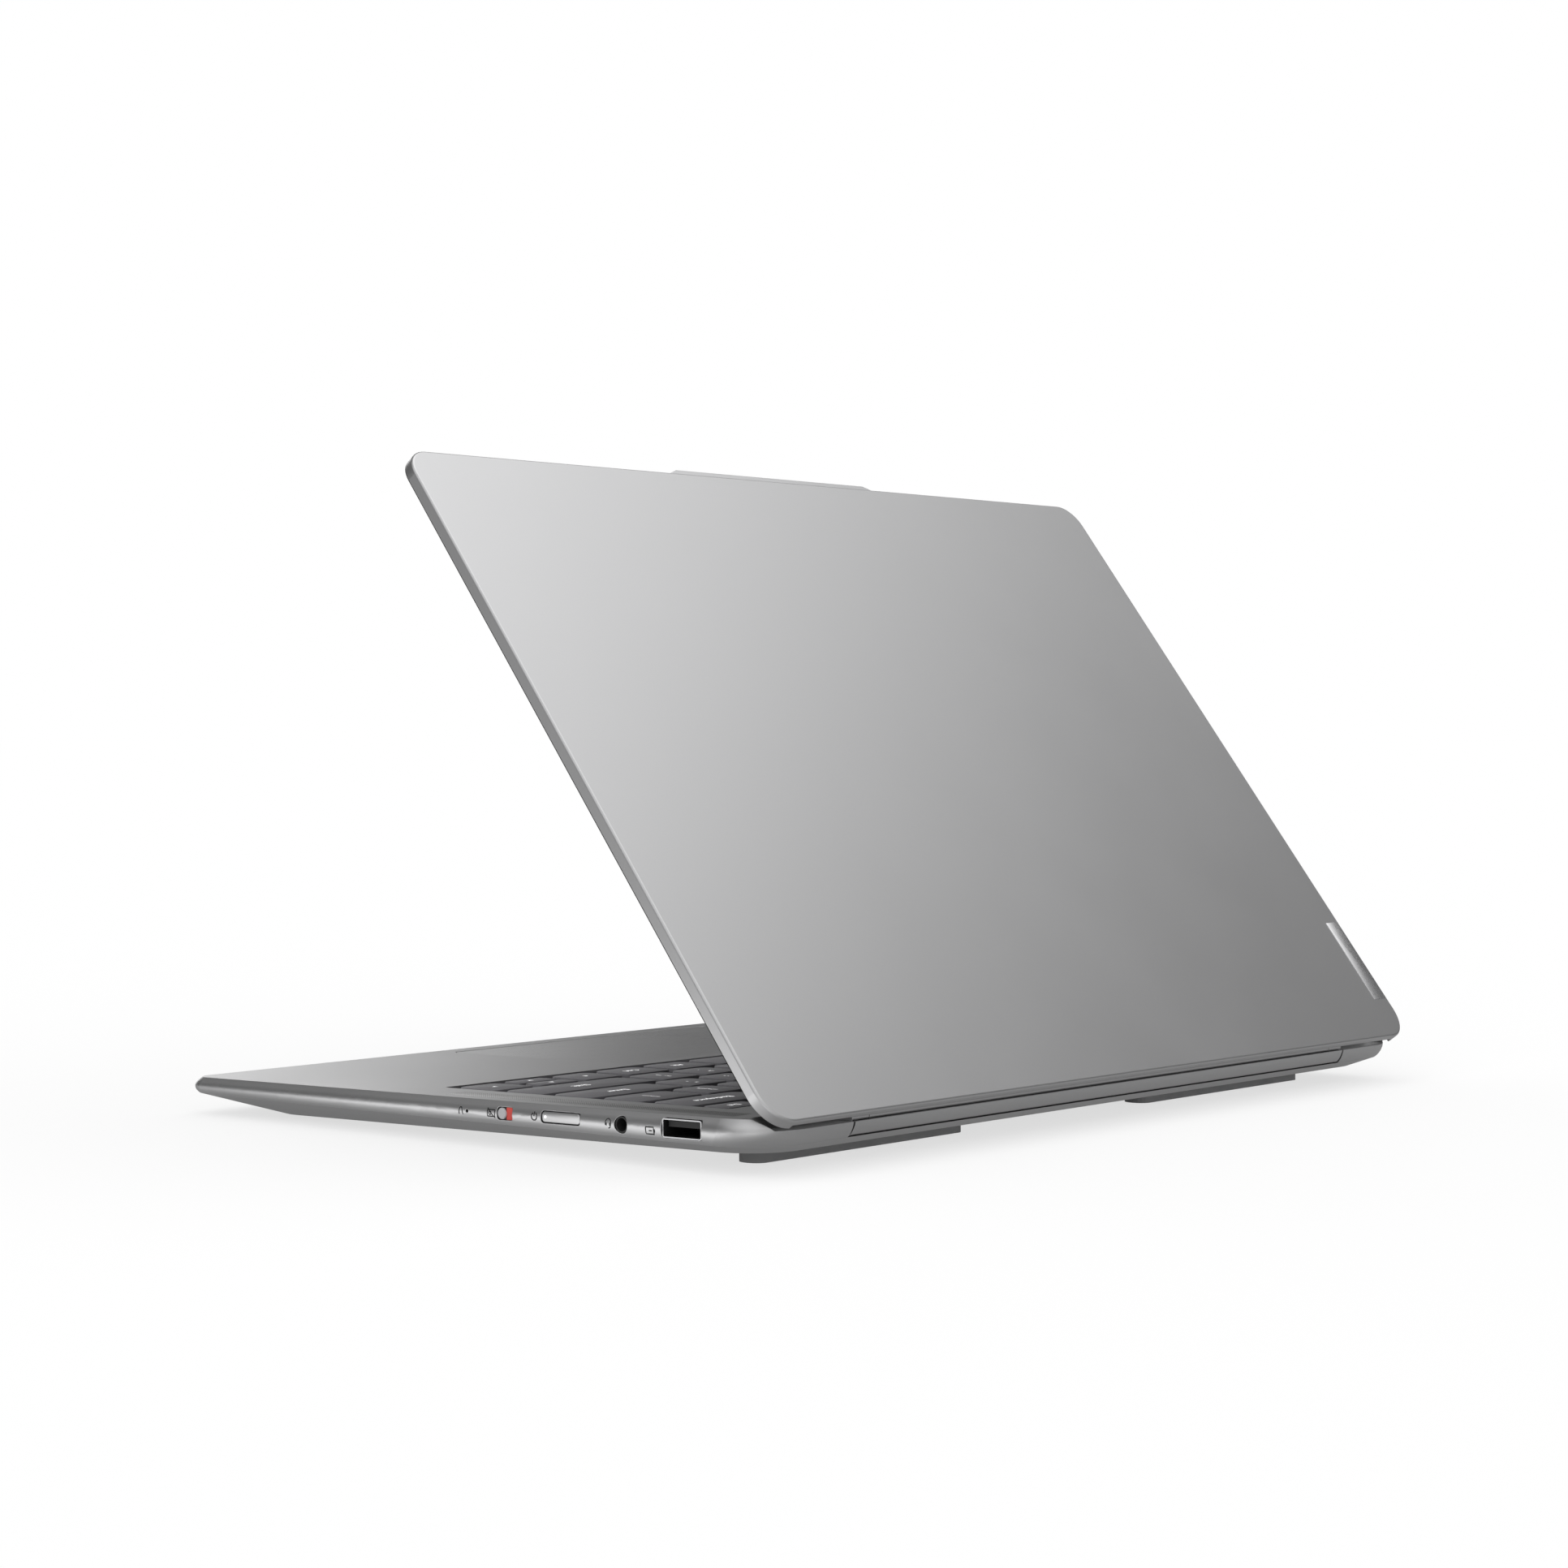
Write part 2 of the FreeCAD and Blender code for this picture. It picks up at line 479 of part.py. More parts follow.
# Rear strip between the two seams, hollowed along its top for the hinge tube
TUBE_CENTRE = ("hinge_y", "hinge_z")
strip_box = block("strip_box", even("strip_half"), ("strip_front", BEHIND), (BELOW, ABOVE))
strip_core = overlap("strip_core", stepped_form, strip_box)
groove = rod("tube_groove", "x", TUBE_CENTRE, even(HALF_WIDTH), "tube_radius + part_gap")
swing_room = block("swing_room", even(HALF_WIDTH), ("strip_front - cut_past", "hinge_y"),
                   ("hinge_z - tube_radius - part_gap", ABOVE))
node("hinge_cover_strip", carve("strip_hollowed", strip_core, [groove, swing_room]))

# Bottom cover: a shallow pan with air slots under the fans
IO_TOP = "usb_z - usb_height / 2"
IO_OUTER = f"{CAVITY_X} - io_inset"
INTAKES = 11
FLOOR_CUT = (BELOW, "floor_wall + cut_past / 2")
pan_cuts = [slab("pan_room", even(f"{HALF_WIDTH} - belly_side - pan_wall"),
                 (f"{FRONT} + belly_front", f"{REAR} - belly_rear - pan_wall"), ("floor_wall", ABOVE),
                 "pan_corner")]
for label, side in SIDES:
    pan_cuts.append(block(f"board_room_{label}", span(side, "io_inner", f"{IO_OUTER} + part_gap"),
                          widened(("io_front", "io_rear"), "part_gap"),
                          (f"{IO_TOP} - board_thick - part_gap", ABOVE)))
    for count in range(INTAKES):
        middle = f"fan_x - vent_pitch * ({count} - {(INTAKES - 1) / 2})"
        pan_cuts.append(block(f"intake_{label}_{count}", span(side, *around(middle, "intake_width")),
                              around("fan_y", "intake_length"), FLOOR_CUT))
pan_cuts.append(screw_rods("screw_holes", "screw_shank + socket_play", FLOOR_CUT))
pan_cuts.append(screw_rods("head_holes", "screw_head + socket_play", (BELOW, "head_depth")))
node("bottom_cover", carve("pan", belly_form, pan_cuts))
heads = screw_rods("screw_heads", "screw_head", ("screw_sink / 2", "head_depth"))
shanks = screw_rods("screw_shanks", "screw_shank - socket_play / 2", ("screw_sink", "seam_height"))
node("bottom_screws", join("screws", [heads, shanks]))

# Rubber feet, cut level with the table
LOW = "-4 * foot_drop"
TABLE_Y = even("base_depth")
floor_line = [(y, f"-foot_drop - ({y}) * tan(stand_tilt * 1 deg)") for y in TABLE_Y]
table = prism("table", floor_line + [(TABLE_Y[1], LOW), (TABLE_Y[0], LOW)], even(SIDE_OUT))
for label, side in SIDES:
    bar = slab(f"rear_bar_{label}", span(side, "rear_foot_inner", "rear_foot_outer"),
               ("rear_foot_rear - rear_foot_depth", "rear_foot_rear"), (LOW, "0"), "rear_foot_corner")
    node(f"rear_foot_{label}", carve(f"rear_foot_cut_{label}", bar, [table]))
front_bar = slab("front_bar", even("front_foot_half"),
                 ("front_foot_rear - front_foot_depth", "front_foot_rear"), (LOW, "0"), "front_foot_corner")
node("front_foot", carve("front_foot_cut", front_bar, [table]))

# Speaker grilles: ribbed inlays flush with the deck
RIB_COUNT = int(size("(grille_rear - grille_front - 2 * grille_edge) / rib_pitch"))
for label, side in SIDES:
    inlay = block(f"inlay_{label}", span(side, "grille_inner", "grille_outer"),
                  ("grille_front", "grille_rear"), ("deck_height - grille_thick", "deck_height"))
    rib_x = span(side, "grille_inner + grille_edge", "grille_outer - grille_edge")
    ribs = []
    for count in range(RIB_COUNT):
        start = f"grille_front + grille_edge + {count} * rib_pitch"
        ribs.append(block(f"rib_{label}_{count}", rib_x, (start, f"{start} + rib_slot"),
                          ("deck_height - rib_depth", ABOVE)))
    node(f"speaker_grille_{label}", carve(f"grille_{label}", inlay, [group(f"ribs_{label}", ribs)]))

# Keyboard: a tray that hangs under the deck with a guide post for every key
KEY_ROWS = (
    (("bottom_row_keys", (1.3, 1, 1, 1.1)), ("space_bar", (5.4,)), ("bottom_row_keys", (1.1, 1.1))),
    (("left_shift_key", (2.3,)), ("lower_row_keys", (1,) * 10), ("right_shift_key", (2.7,))),
    (("home_row_keys", (1.8,) + (1,) * 11), ("enter_key", (2.2,))),
    (("upper_row_keys", (1.5,) + (1,) * 12 + (1.5,)),),
    (("number_keys", (1,) * 13), ("backspace_key", (2,))),
    (("function_keys", (1,) * KEYS_ACROSS),),
)
ARROW_START = 12
HALF_DEPTH = "row_pitch / 2 + key_space / 4"
HALF_WAY = "keyboard_front + row_pitch / 2 - key_space / 4"
ARROWS = ((0, "keyboard_front", "row_pitch"), (2, "keyboard_front", "row_pitch"),
          (1, "keyboard_front", HALF_DEPTH), (1, HALF_WAY, HALF_DEPTH))
keys = {}


def add_key(label, left, width, low, depth):
    """Note one key of a group: its stretch in X and in Y, spaces taken off."""
    x = (f"{KEY_LEFT} + {left} * key_pitch", f"{KEY_LEFT} + {left + width} * key_pitch")
    y = (low, f"{low} + ({depth})")
    keys.setdefault(label, []).append((widened(x, "-key_space / 2"), widened(y, "-key_space / 2")))


for row, groups in enumerate(KEY_ROWS):
    row_depth = "row_pitch" if row < FULL_ROWS else "function_pitch"
    reached = 0
    for label, widths in groups:
        for width in widths:
            add_key(label, reached, width, f"keyboard_front + {row} * row_pitch", row_depth)
            reached += width
for offset, low, depth in ARROWS:
    add_key("arrow_keys", ARROW_START + offset, 1, low, depth)

CAP_UNDER = "key_top - cap_thick"
SLEEVE_LOW = f"{CAP_UNDER} - key_travel - part_gap / 3"
PLATE_MIDDLE = "plate_top - plate_thick / 2"
posts = []
for label, caps in keys.items():
    tops, sleeves, bores = [], [], []
    for count, (x, y) in enumerate(caps):
        middle = (f"({x[0]} + {x[1]}) / 2", f"({y[0]} + {y[1]}) / 2")
        tag = f"{label}_{count}"
        tops.append(block(f"cap_{tag}", x, y, (CAP_UNDER, "key_top")))
        sleeves.append(rod(f"sleeve_{tag}", "z", middle, (SLEEVE_LOW, CAP_UNDER), "sleeve_radius"))
        bores.append(rod(f"bore_{tag}", "z", middle, (SLEEVE_LOW, CAP_UNDER), "sleeve_bore"))
        posts.append(rod(f"post_{tag}", "z", middle, (PLATE_MIDDLE, SLEEVE_LOW), "sleeve_bore - post_play"))
    rings = carve(f"rings_{label}", group(f"sleeves_{label}", sleeves), [group(f"bores_{label}", bores)])
    node(label, join(f"keys_{label}", [group(f"caps_{label}", tops), rings]))

tray = block("key_tray", widened(WELL_X, "plate_wall + part_gap"), widened(WELL_Y, "plate_wall + part_gap"),
             ("plate_top - plate_thick", DECK_UNDER))
tray_room = block("key_tray_room", widened(WELL_X, "part_gap"), widened(WELL_Y, "part_gap"),
                  ("plate_top", ABOVE))
BOSS_YS = ("board_front + boss_inset", "board_rear - boss_inset")
bosses = [rod(f"board_boss_{side}_{row}", "z", (f"{side} * (board_half - boss_inset)", y),
              ("board_top", PLATE_MIDDLE), "boss_radius")
          for side in (-1, 1) for row, y in enumerate(BOSS_YS)]
hollow_tray = carve("key_tray_hollow", tray, [tray_room])
node("keyboard_plate", join("keyboard_carrier", [hollow_tray, group("key_posts", posts)] + bosses))

# Trackpad on its tray, above the switch that it presses
PAD_UNDER = "key_top - pad_thick"
TRAY_LOW = f"{DECK_UNDER} - pad_tray"
node("trackpad", slab("pad", PAD_X, PAD_Y, (PAD_UNDER, "key_top"), "pad_corner"))
pad_tray = block("pad_tray_block", widened(PAD_X, "pad_flange"), widened(PAD_Y, "pad_flange / 2"),
                 (TRAY_LOW, DECK_UNDER))
pad_room = block("pad_tray_room", widened(PAD_X, "pad_play"), widened(PAD_Y, "pad_play"),
                 (f"{TRAY_LOW} + pad_tray_wall", ABOVE))
pad_switch = rod("pad_switch", "z", ("0", "pad_switch_y"),
                 (TRAY_LOW, f"{PAD_UNDER} - pad_travel - part_gap / 3"), "pad_switch_radius")
node("trackpad_bracket", join("pad_bracket", [carve("pad_tray_hollow", pad_tray, [pad_room]), pad_switch]))


# Sockets, power button and camera shutter switch
def socket(name, side, y, z, radius, tongue):
    """A thin metal shell with a closed back, a tongue inside, and a foot on the side board."""
    back = f"{MOUTH} - socket_depth"
    outer = side_slab(f"{name}_outer", span(side, back, MOUTH), y, z, radius)
    room = side_slab(f"{name}_room", span(side, f"{back} + 2 * shell_wall", SIDE_OUT),
                     widened(y, "-shell_wall"), widened(z, "-shell_wall"), f"{radius} - shell_wall")
    blade = block(f"{name}_tongue", span(side, f"{back} + shell_wall", f"{MOUTH} - tongue_sink"),
                  widened(y, f"-{radius} - shell_wall"), tongue)
    foot = block(f"{name}_foot", span(side, back, f"{CAVITY_X} - part_gap"), widened(y, f"-({radius})"),
                 (IO_TOP, f"{z[0]} + shell_wall"))
    return join(name, [carve(f"{name}_shell", outer, [room]), blade, foot])


usb_tongue = (f"{USB_Z[1]} - shell_wall - tongue_thick", f"{USB_Z[1]} - 2 * shell_wall")
node("usb_a_port", socket("usb_a", 1, USB_Y, USB_Z, "usb_corner", usb_tongue))
node("hdmi_port", socket("hdmi", -1, HDMI_Y, HDMI_Z, "usb_corner", around("usb_z", "tongue_thick")))
node("usb_c_ports", group("type_c_pair", [
    socket(f"type_c_{index}", -1, row, TYPE_C_Z, "type_c_corner", around("type_c_z", "2 * shell_wall"))
    for index, row in enumerate(TYPE_C_YS)]))

JACK_CENTRE = ("jack_y", "jack_z")
JACK_START = f"{HALF_WIDTH} - jack_depth"
jack_body = block("jack_body", (f"{JACK_START} - jack_back", f"{CAVITY_X} - part_gap"),
                  around("jack_y", "2 * jack_half"), (IO_TOP, DECK_UNDER))
jack_barrel = rod("jack_barrel", "x", JACK_CENTRE, (JACK_START, MOUTH), "jack_radius")
jack_bore = rod("jack_bore_cut", "x", JACK_CENTRE, (JACK_START, SIDE_OUT), "jack_bore")
node("audio_jack", carve("jack", join("jack_solid", [jack_body, jack_barrel]), [jack_bore]))

CAP_X = (f"{CAVITY_X} + part_gap", f"{HALF_WIDTH} - button_sink")
node("power_button", side_slab("button_cap", CAP_X, BUTTON_Y, BUTTON_Z, "button_corner"))
SWITCH_FACE = f"{CAP_X[0]} - button_travel - part_gap / 2"
node("power_switch", block("tact_switch", (f"{SWITCH_FACE} - cavity_wall", SWITCH_FACE),
                           around("button_y", "button_length / 2"), (IO_TOP, "button_z + button_height / 3")))
node("shutter_slider", rod("slider_knob", "x", ("slider_y", "slider_z"), CAP_X, "slider_radius"))
node("shutter_switch", block("slider_housing", (f"{CAVITY_X} - cavity_wall", CAVITY_X),
                             widened(SLOT_Y, "slot_margin"), (IO_TOP, DECK_UNDER)))

# Boards and what sits on them
BOARD_LOW = "board_top - board_thick"
IO_POSTS = (("io_post_x", "io_front + boss_inset"), ("io_post_x", "io_post_y"))
node("motherboard", block("main_board", even("board_half"), ("board_front", "board_rear"),
                          (BOARD_LOW, "board_top")))
for label, side in SIDES:
    board = block(f"side_board_{label}", span(side, "io_inner", IO_OUTER), ("io_front", "io_rear"),
                  (f"{IO_TOP} - board_thick", IO_TOP))
    studs = [rod(f"side_stud_{label}_{count}", "z", (f"{side} * {x}", y), (IO_TOP, DECK_UNDER),
                 "io_post_radius") for count, (x, y) in enumerate(IO_POSTS)]
    node(f"io_board_{label}", join(f"side_board_with_studs_{label}", [board] + studs))
card_x = ("board_half - card_inset - card_width", "board_half - card_inset")
card_z = (f"{BOARD_LOW} - card_thick", BOARD_LOW)
CARD_FRONT = "board_front + card_inset"
node("ssd_module", block("ssd", span(-1, *card_x), (CARD_FRONT, f"{CARD_FRONT} + ssd_length"), card_z))
node("wireless_card", block("radio_card", card_x, (CARD_FRONT, f"{CARD_FRONT} + radio_length"), card_z))
pipe_z = (f"{BOARD_LOW} - pipe_thick", BOARD_LOW)
node("heat_spreader", block("spreader", even("chip_half"), ("chip_front", "chip_rear"), pipe_z))
stem = block("pipe_stem", even("chip_half / 2"), ("chip_rear", "fin_front - pipe_depth / 2"), pipe_z)
pipe = block("pipe_bar", even("fin_outer"), ("fin_front - pipe_depth", "fin_front"), pipe_z)
node("heat_pipe", join("pipes", [stem, pipe]))

# Two thin blowers with finned radiators behind them
FIN_COUNT = int(size("(fin_outer - fin_inner) / fin_pitch"))
BLADES = int(size("blade_count"))
FAN_ROOM = ("fan_low + fan_skin", "fan_high - fan_skin")
ROTOR_Z = widened(FAN_ROOM, "-rotor_play")
FAN_THROUGH = widened(("fan_low", "fan_high"), "cut_past")
for label, side in SIDES:
    centre = (f"{side} * fan_x", "fan_y")
    case = block(f"fan_case_{label}", around(centre[0], "2 * fan_half"), around("fan_y", "2 * fan_half"),
                 ("fan_low", "fan_high"))
    bore = rod(f"fan_bore_{label}", "z", centre, FAN_ROOM, "rotor_radius + rotor_play + fan_skin")
    eye = rod(f"fan_eye_{label}", "z", centre, FAN_THROUGH, "fan_eye")
    mouth = block(f"fan_mouth_{label}", around(centre[0], "fan_mouth"),
                  ("fan_y", "fan_y + fan_half + cut_past"), FAN_ROOM)
    bridge = block(f"fan_bridge_{label}", around(centre[0], "2 * rotor_radius"),
                   around("fan_y", "bridge_depth"), ("fan_low", FAN_ROOM[0]))
    post = rod(f"fan_post_{label}", "z", centre, ("fan_low", ROTOR_Z[1]), "fan_post")
    hollow = carve(f"fan_hollow_{label}", case, [bore, eye, mouth])
    node(f"fan_housing_{label}", join(f"fan_frame_{label}", [hollow, bridge, post]))
    wheel = [rod(f"fan_hub_{label}", "z", centre, ROTOR_Z, "rotor_hub")]
    for count in range(BLADES):
        blade = block(f"fan_blade_{label}_{count}", (centre[0], f"{centre[0]} + rotor_radius"),
                      ("fan_y", "fan_y + blade_thick"), ROTOR_Z)
        turn = FreeCAD.Rotation(UP, 360 * count / BLADES)
        blade.Placement = FreeCAD.Placement(blade.Placement.Base, turn)
        wheel.append(blade)
    shaft_hole = rod(f"fan_shaft_hole_{label}", "z", centre, FAN_THROUGH, "fan_post + pin_play")
    node(f"fan_rotor_{label}", carve(f"fan_wheel_{label}", join(f"fan_blades_{label}", wheel), [shaft_hole]))
    fins = [block(f"fin_spine_{label}", span(side, "fin_inner", "fin_outer"), ("fin_front", "fin_rear"),
                  (BOARD_LOW, f"{BOARD_LOW} + fin_thick"))]
    for count in range(FIN_COUNT):
        left = f"fin_inner + {count} * fin_pitch"
        fins.append(block(f"fin_{label}_{count}", span(side, left, f"{left} + fin_thick"),
                          ("fin_front", "fin_rear"), ("fan_low", "vent_high")))
    node(f"heatsink_fins_{label}", join(f"fins_{label}", fins))
    speaker_x = span(side, "speaker_inner", f"{CAVITY_X} - part_gap")
    speaker_low = "seam_height - speaker_front * tan(seam_slope * 1 deg) + part_gap"
    node(f"speaker_{label}", block(f"speaker_box_{label}", speaker_x, ("speaker_front", "speaker_rear"),
                                   (speaker_low, DECK_UNDER)))
node("battery_pack", slab("battery", even("battery_half"), ("battery_front", "battery_rear"),
                          ("floor_wall", "battery_high"), "battery_corner"))

# Hinges: steel brackets under the deck carry a knuckle and a pin at each end of the lid's tube
for label, side in SIDES:
    plate = block(f"bracket_plate_{label}", span(side, "bracket_inner", "strip_half"),
                  ("bracket_front", "step_start - deck_wall"), (f"{DECK_UNDER} - bracket_wall", DECK_UNDER))
    outboard = span(side, "tube_half + part_gap", "strip_half")
    arm = block(f"bracket_arm_{label}", outboard, ("bracket_front", "hinge_y"), ("arm_low", "arm_high"))
    knuckle = rod(f"knuckle_{label}", "x", TUBE_CENTRE, outboard, "tube_radius")
    pin = rod(f"hinge_pin_{label}", "x", TUBE_CENTRE, span(side, "tube_half - pin_length", "strip_half"),
              "pin_radius")
    node(f"hinge_bracket_{label}", join(f"bracket_{label}", [plate, arm, knuckle, pin]))

# Lid, drawn shut: outer face up, screen down over the keys
LID_LOW = "deck_height + lid_gap"
LID_TOP = f"{LID_LOW} + lid_thickness"
RIM_LOW = f"{LID_LOW} + gasket_height"
LID_X = even(HALF_WIDTH)
CHIN = "lid_rear - lid_lip_run"
lid_plate = slab("lid_plate", LID_X, ("lid_front", "lid_rear"), (RIM_LOW, LID_TOP), "lid_corner_top",
                 "lid_corner_bottom")
doc.recompute()
lid_pad = lid_plate.Tip
top_edges = [f"Edge{index}" for index, edge in enumerate(lid_pad.Shape.Edges, start=1)
             if edge.BoundBox.ZMin > size(LID_TOP) - size("lid_edge_round")]
rounding = lid_plate.newObject("PartDesign::Fillet", "lid_rounding")
rounding.Base = (lid_pad, top_edges)
rounding.setExpression("Radius", formula("lid_edge_round"))
grip = doc.addObject("PartDesign::Body", "grip")
grip_sketch = new_sketch(grip, "grip_outline", "XY_Plane", RIM_LOW)
GRIP_ROOT = "lid_front + 2 * grip_reach"
GRIP_TIP = "lid_front - grip_reach"
draw_polygon(grip_sketch, (("-grip_half_base", GRIP_ROOT), ("-grip_half_base", "lid_front"),
                           ("-grip_half_tip", GRIP_TIP), ("grip_half_tip", GRIP_TIP),
                           ("grip_half_base", "lid_front"), ("grip_half_base", GRIP_ROOT)))
padded(grip, grip_sketch, "lid_thickness - gasket_height - grip_drop")
lid_room = slab("lid_room", widened(LID_X, "-lid_rim"), ("lid_front + lid_rim", f"{CHIN} - chin_wall"),
                (RIM_LOW, f"{LID_TOP} - lid_back"), "lid_corner_top - lid_rim")
lip_room = block("lip_room", even("shelf_half - shelf_corner / 2"), (CHIN, "lid_rear + cut_past"),
                 ("deck_height", f"{LID_TOP} - lid_lip"))
node("lid_cover", carve("lid_shell", join("lid_with_grip", [lid_plate, grip]), [lid_room, lip_room]), True)

gasket_x = widened(LID_X, "-gasket_inset")
gasket_y = ("lid_front + gasket_inset", f"{CHIN} - chin_wall / 2 - part_gap / 3")
gasket = slab("gasket_outer", gasket_x, gasket_y, (LID_LOW, RIM_LOW), "lid_corner_top - gasket_inset",
              "gasket_corner")
gasket_room = slab("gasket_room", widened(gasket_x, "-gasket_width"), widened(gasket_y, "-gasket_width"),
                   ("deck_height", RIM_LOW), "lid_corner_top - gasket_inset - gasket_width",
                   "gasket_corner - gasket_width")
node("screen_gasket", carve("gasket", gasket, [gasket_room]), True)

BEZEL_TOP = f"{RIM_LOW} + bezel_thick"
BEZEL_PLAY = "part_gap / 3"
PANEL_Z = (BEZEL_TOP, f"{BEZEL_TOP} + panel_thick")
VIEW_X = even("view_half")
VIEW_Y = ("view_front", "view_rear")
CAMERA_Y = "(lid_front + lid_rim + view_front - panel_margin) / 2"
bezel = slab("bezel_plate", widened(LID_X, f"-lid_rim - {BEZEL_PLAY}"),
             (f"lid_front + lid_rim + {BEZEL_PLAY}", f"{CHIN} - chin_wall - {BEZEL_PLAY}"),
             (RIM_LOW, BEZEL_TOP), f"lid_corner_top - lid_rim - {BEZEL_PLAY}")
window = block("view_window", VIEW_X, VIEW_Y, ("deck_height", BEZEL_TOP))
lens_hole = rod("lens_hole", "z", ("0", CAMERA_Y), ("deck_height", BEZEL_TOP), "lens_radius")
node("screen_bezel", carve("bezel", bezel, [window, lens_hole]), True)
panel = block("panel", widened(VIEW_X, "panel_margin"), widened(VIEW_Y, "panel_margin"), PANEL_Z)
node("display_panel", panel, True)
node("camera_lens", rod("lens", "z", ("0", CAMERA_Y), (RIM_LOW, BEZEL_TOP), "lens_radius"), True)
camera_board = block("camera_board", even("camera_half"), around(CAMERA_Y, "camera_depth"), PANEL_Z)
node("camera_module", camera_board, True)
ARM_Y = (f"{VIEW_Y[1]} + panel_margin + part_gap", f"{CHIN} - chin_wall - part_gap")
for label, side in SIDES:
    node(f"hinge_arm_{label}", block(f"lid_arm_{label}", span(side, "lid_arm_inner", "tube_half"), ARM_Y,
                                     PANEL_Z), True)
tube = rod("tube_body", "x", TUBE_CENTRE, even("tube_half"), "tube_radius")
web = block("tube_web", even("tube_half"), (f"{CHIN} - chin_wall / 2", f"{CHIN} + part_gap / 2"),
            ("hinge_z", RIM_LOW))
PIN_HOLE = ("tube_half - pin_length - part_gap", "tube_half + cut_past")
pin_holes = [rod(f"pin_hole_{label}", "x", TUBE_CENTRE, span(side, *PIN_HOLE), "pin_radius + pin_play")
             for label, side in SIDES]
node("hinge_tube", carve("tube", join("tube_with_web", [tube, web]), pin_holes), True)

# Stand the laptop on its feet, with the middle of its footprint at the origin
tilt = FreeCAD.Rotation(RIGHT, size("stand_tilt"))
swing = FreeCAD.Rotation(RIGHT, -size("lid_open"))
hinge = FreeCAD.Vector(0, size("hinge_y"), size("hinge_z"))
opening = FreeCAD.Placement(hinge - swing.multVec(hinge), swing)


def stand(shift):
    """Set every piece on the table, moved along Y by a shift."""
    rise = FreeCAD.Vector(0, shift, size("foot_drop * cos(stand_tilt * 1 deg)"))
    standing = FreeCAD.Placement(rise, tilt)
    for holder, on_lid in nodes:
        holder.Placement = standing.multiply(opening) if on_lid else standing
    doc.recompute()
    return standing


stand(0)
named = {holder.Label: holder for holder, _ in nodes}
boxes = [named[label].Shape.optimalBoundingBox(False, False) for label in ("keyboard_deck", "lid_cover")]
standing = stand(-(min(box.YMin for box in boxes) + max(box.YMax for box in boxes)) / 2)

for item in doc.Objects:
    if "Invalid" in item.State or "Error" in item.State:
        raise RuntimeError(f"{item.Name} did not rebuild: {item.State}")
for holder, _ in nodes:
    if holder.Shape.isNull() or not holder.Shape.isValid() or not holder.Shape.Solids:
        raise RuntimeError(f"{holder.Label} has no sound shape")
os.makedirs("parts", exist_ok=True)
for holder, _ in nodes:
    holder.Shape.exportStep(f"parts/{holder.Label}.step")
    print(f"{holder.Label}: {len(holder.Shape.Solids)} solids, {holder.Shape.Volume:.1f} mm3")
print(f"hinge at {standing.multVec(hinge)}, {len(nodes)} pieces")
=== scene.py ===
import bmesh
import bpy
import json
import math
from collections import defaultdict
from mathutils import Matrix, Vector


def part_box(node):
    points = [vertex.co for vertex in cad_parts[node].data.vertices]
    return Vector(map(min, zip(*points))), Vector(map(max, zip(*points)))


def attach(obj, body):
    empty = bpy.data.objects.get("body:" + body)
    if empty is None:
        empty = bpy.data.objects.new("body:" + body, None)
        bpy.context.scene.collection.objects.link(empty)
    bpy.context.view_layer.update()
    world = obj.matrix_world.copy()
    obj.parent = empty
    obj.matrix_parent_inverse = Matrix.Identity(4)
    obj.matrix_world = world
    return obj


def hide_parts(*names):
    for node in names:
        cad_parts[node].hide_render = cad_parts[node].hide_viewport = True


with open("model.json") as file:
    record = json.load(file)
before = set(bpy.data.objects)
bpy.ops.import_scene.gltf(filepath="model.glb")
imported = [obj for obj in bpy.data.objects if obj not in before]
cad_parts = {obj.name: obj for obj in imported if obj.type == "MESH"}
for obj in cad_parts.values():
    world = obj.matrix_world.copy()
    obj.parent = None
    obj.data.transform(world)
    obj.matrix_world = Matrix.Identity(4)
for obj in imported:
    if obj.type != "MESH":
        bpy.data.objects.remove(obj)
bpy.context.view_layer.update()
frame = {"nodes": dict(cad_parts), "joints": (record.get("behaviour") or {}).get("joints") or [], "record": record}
scene = bpy.context.scene

# The base is drawn in millimetres, X to the right, Y to the rear and Z up, and then tipped on its feet.
# The lid is drawn shut on the base, and swings open about the hinge line.
HINGE = Vector((0, 109.1, 7.8))
LID_OPEN = math.radians(54)
joints = {joint["name"]: joint for joint in frame["joints"]}
press = joints["trackpad_press"]["axis"]
tipped = Matrix.Rotation(math.atan2(press[1], -press[2]), 4, "X") @ Matrix.Scale(0.001, 4)
ON_BASE = Matrix.Translation(Vector(joints["lid_hinge"]["pos_m"]) - tipped @ HINGE) @ tipped
ON_LID = ON_BASE @ Matrix.Translation(HINGE) @ Matrix.Rotation(-LID_OPEN, 4, "X") @ Matrix.Translation(-HINGE)
# Pieces on the right side are drawn flat, Y across and Z up, and stood up to face the right
ON_SIDE = ON_BASE @ Matrix(((0, 0, 1, 0), (1, 0, 0, 0), (0, 1, 0, 0), (0, 0, 0, 1)))
slot_of_node = {part["node"]: part["material_slot"] for part in frame["record"]["subparts"]}


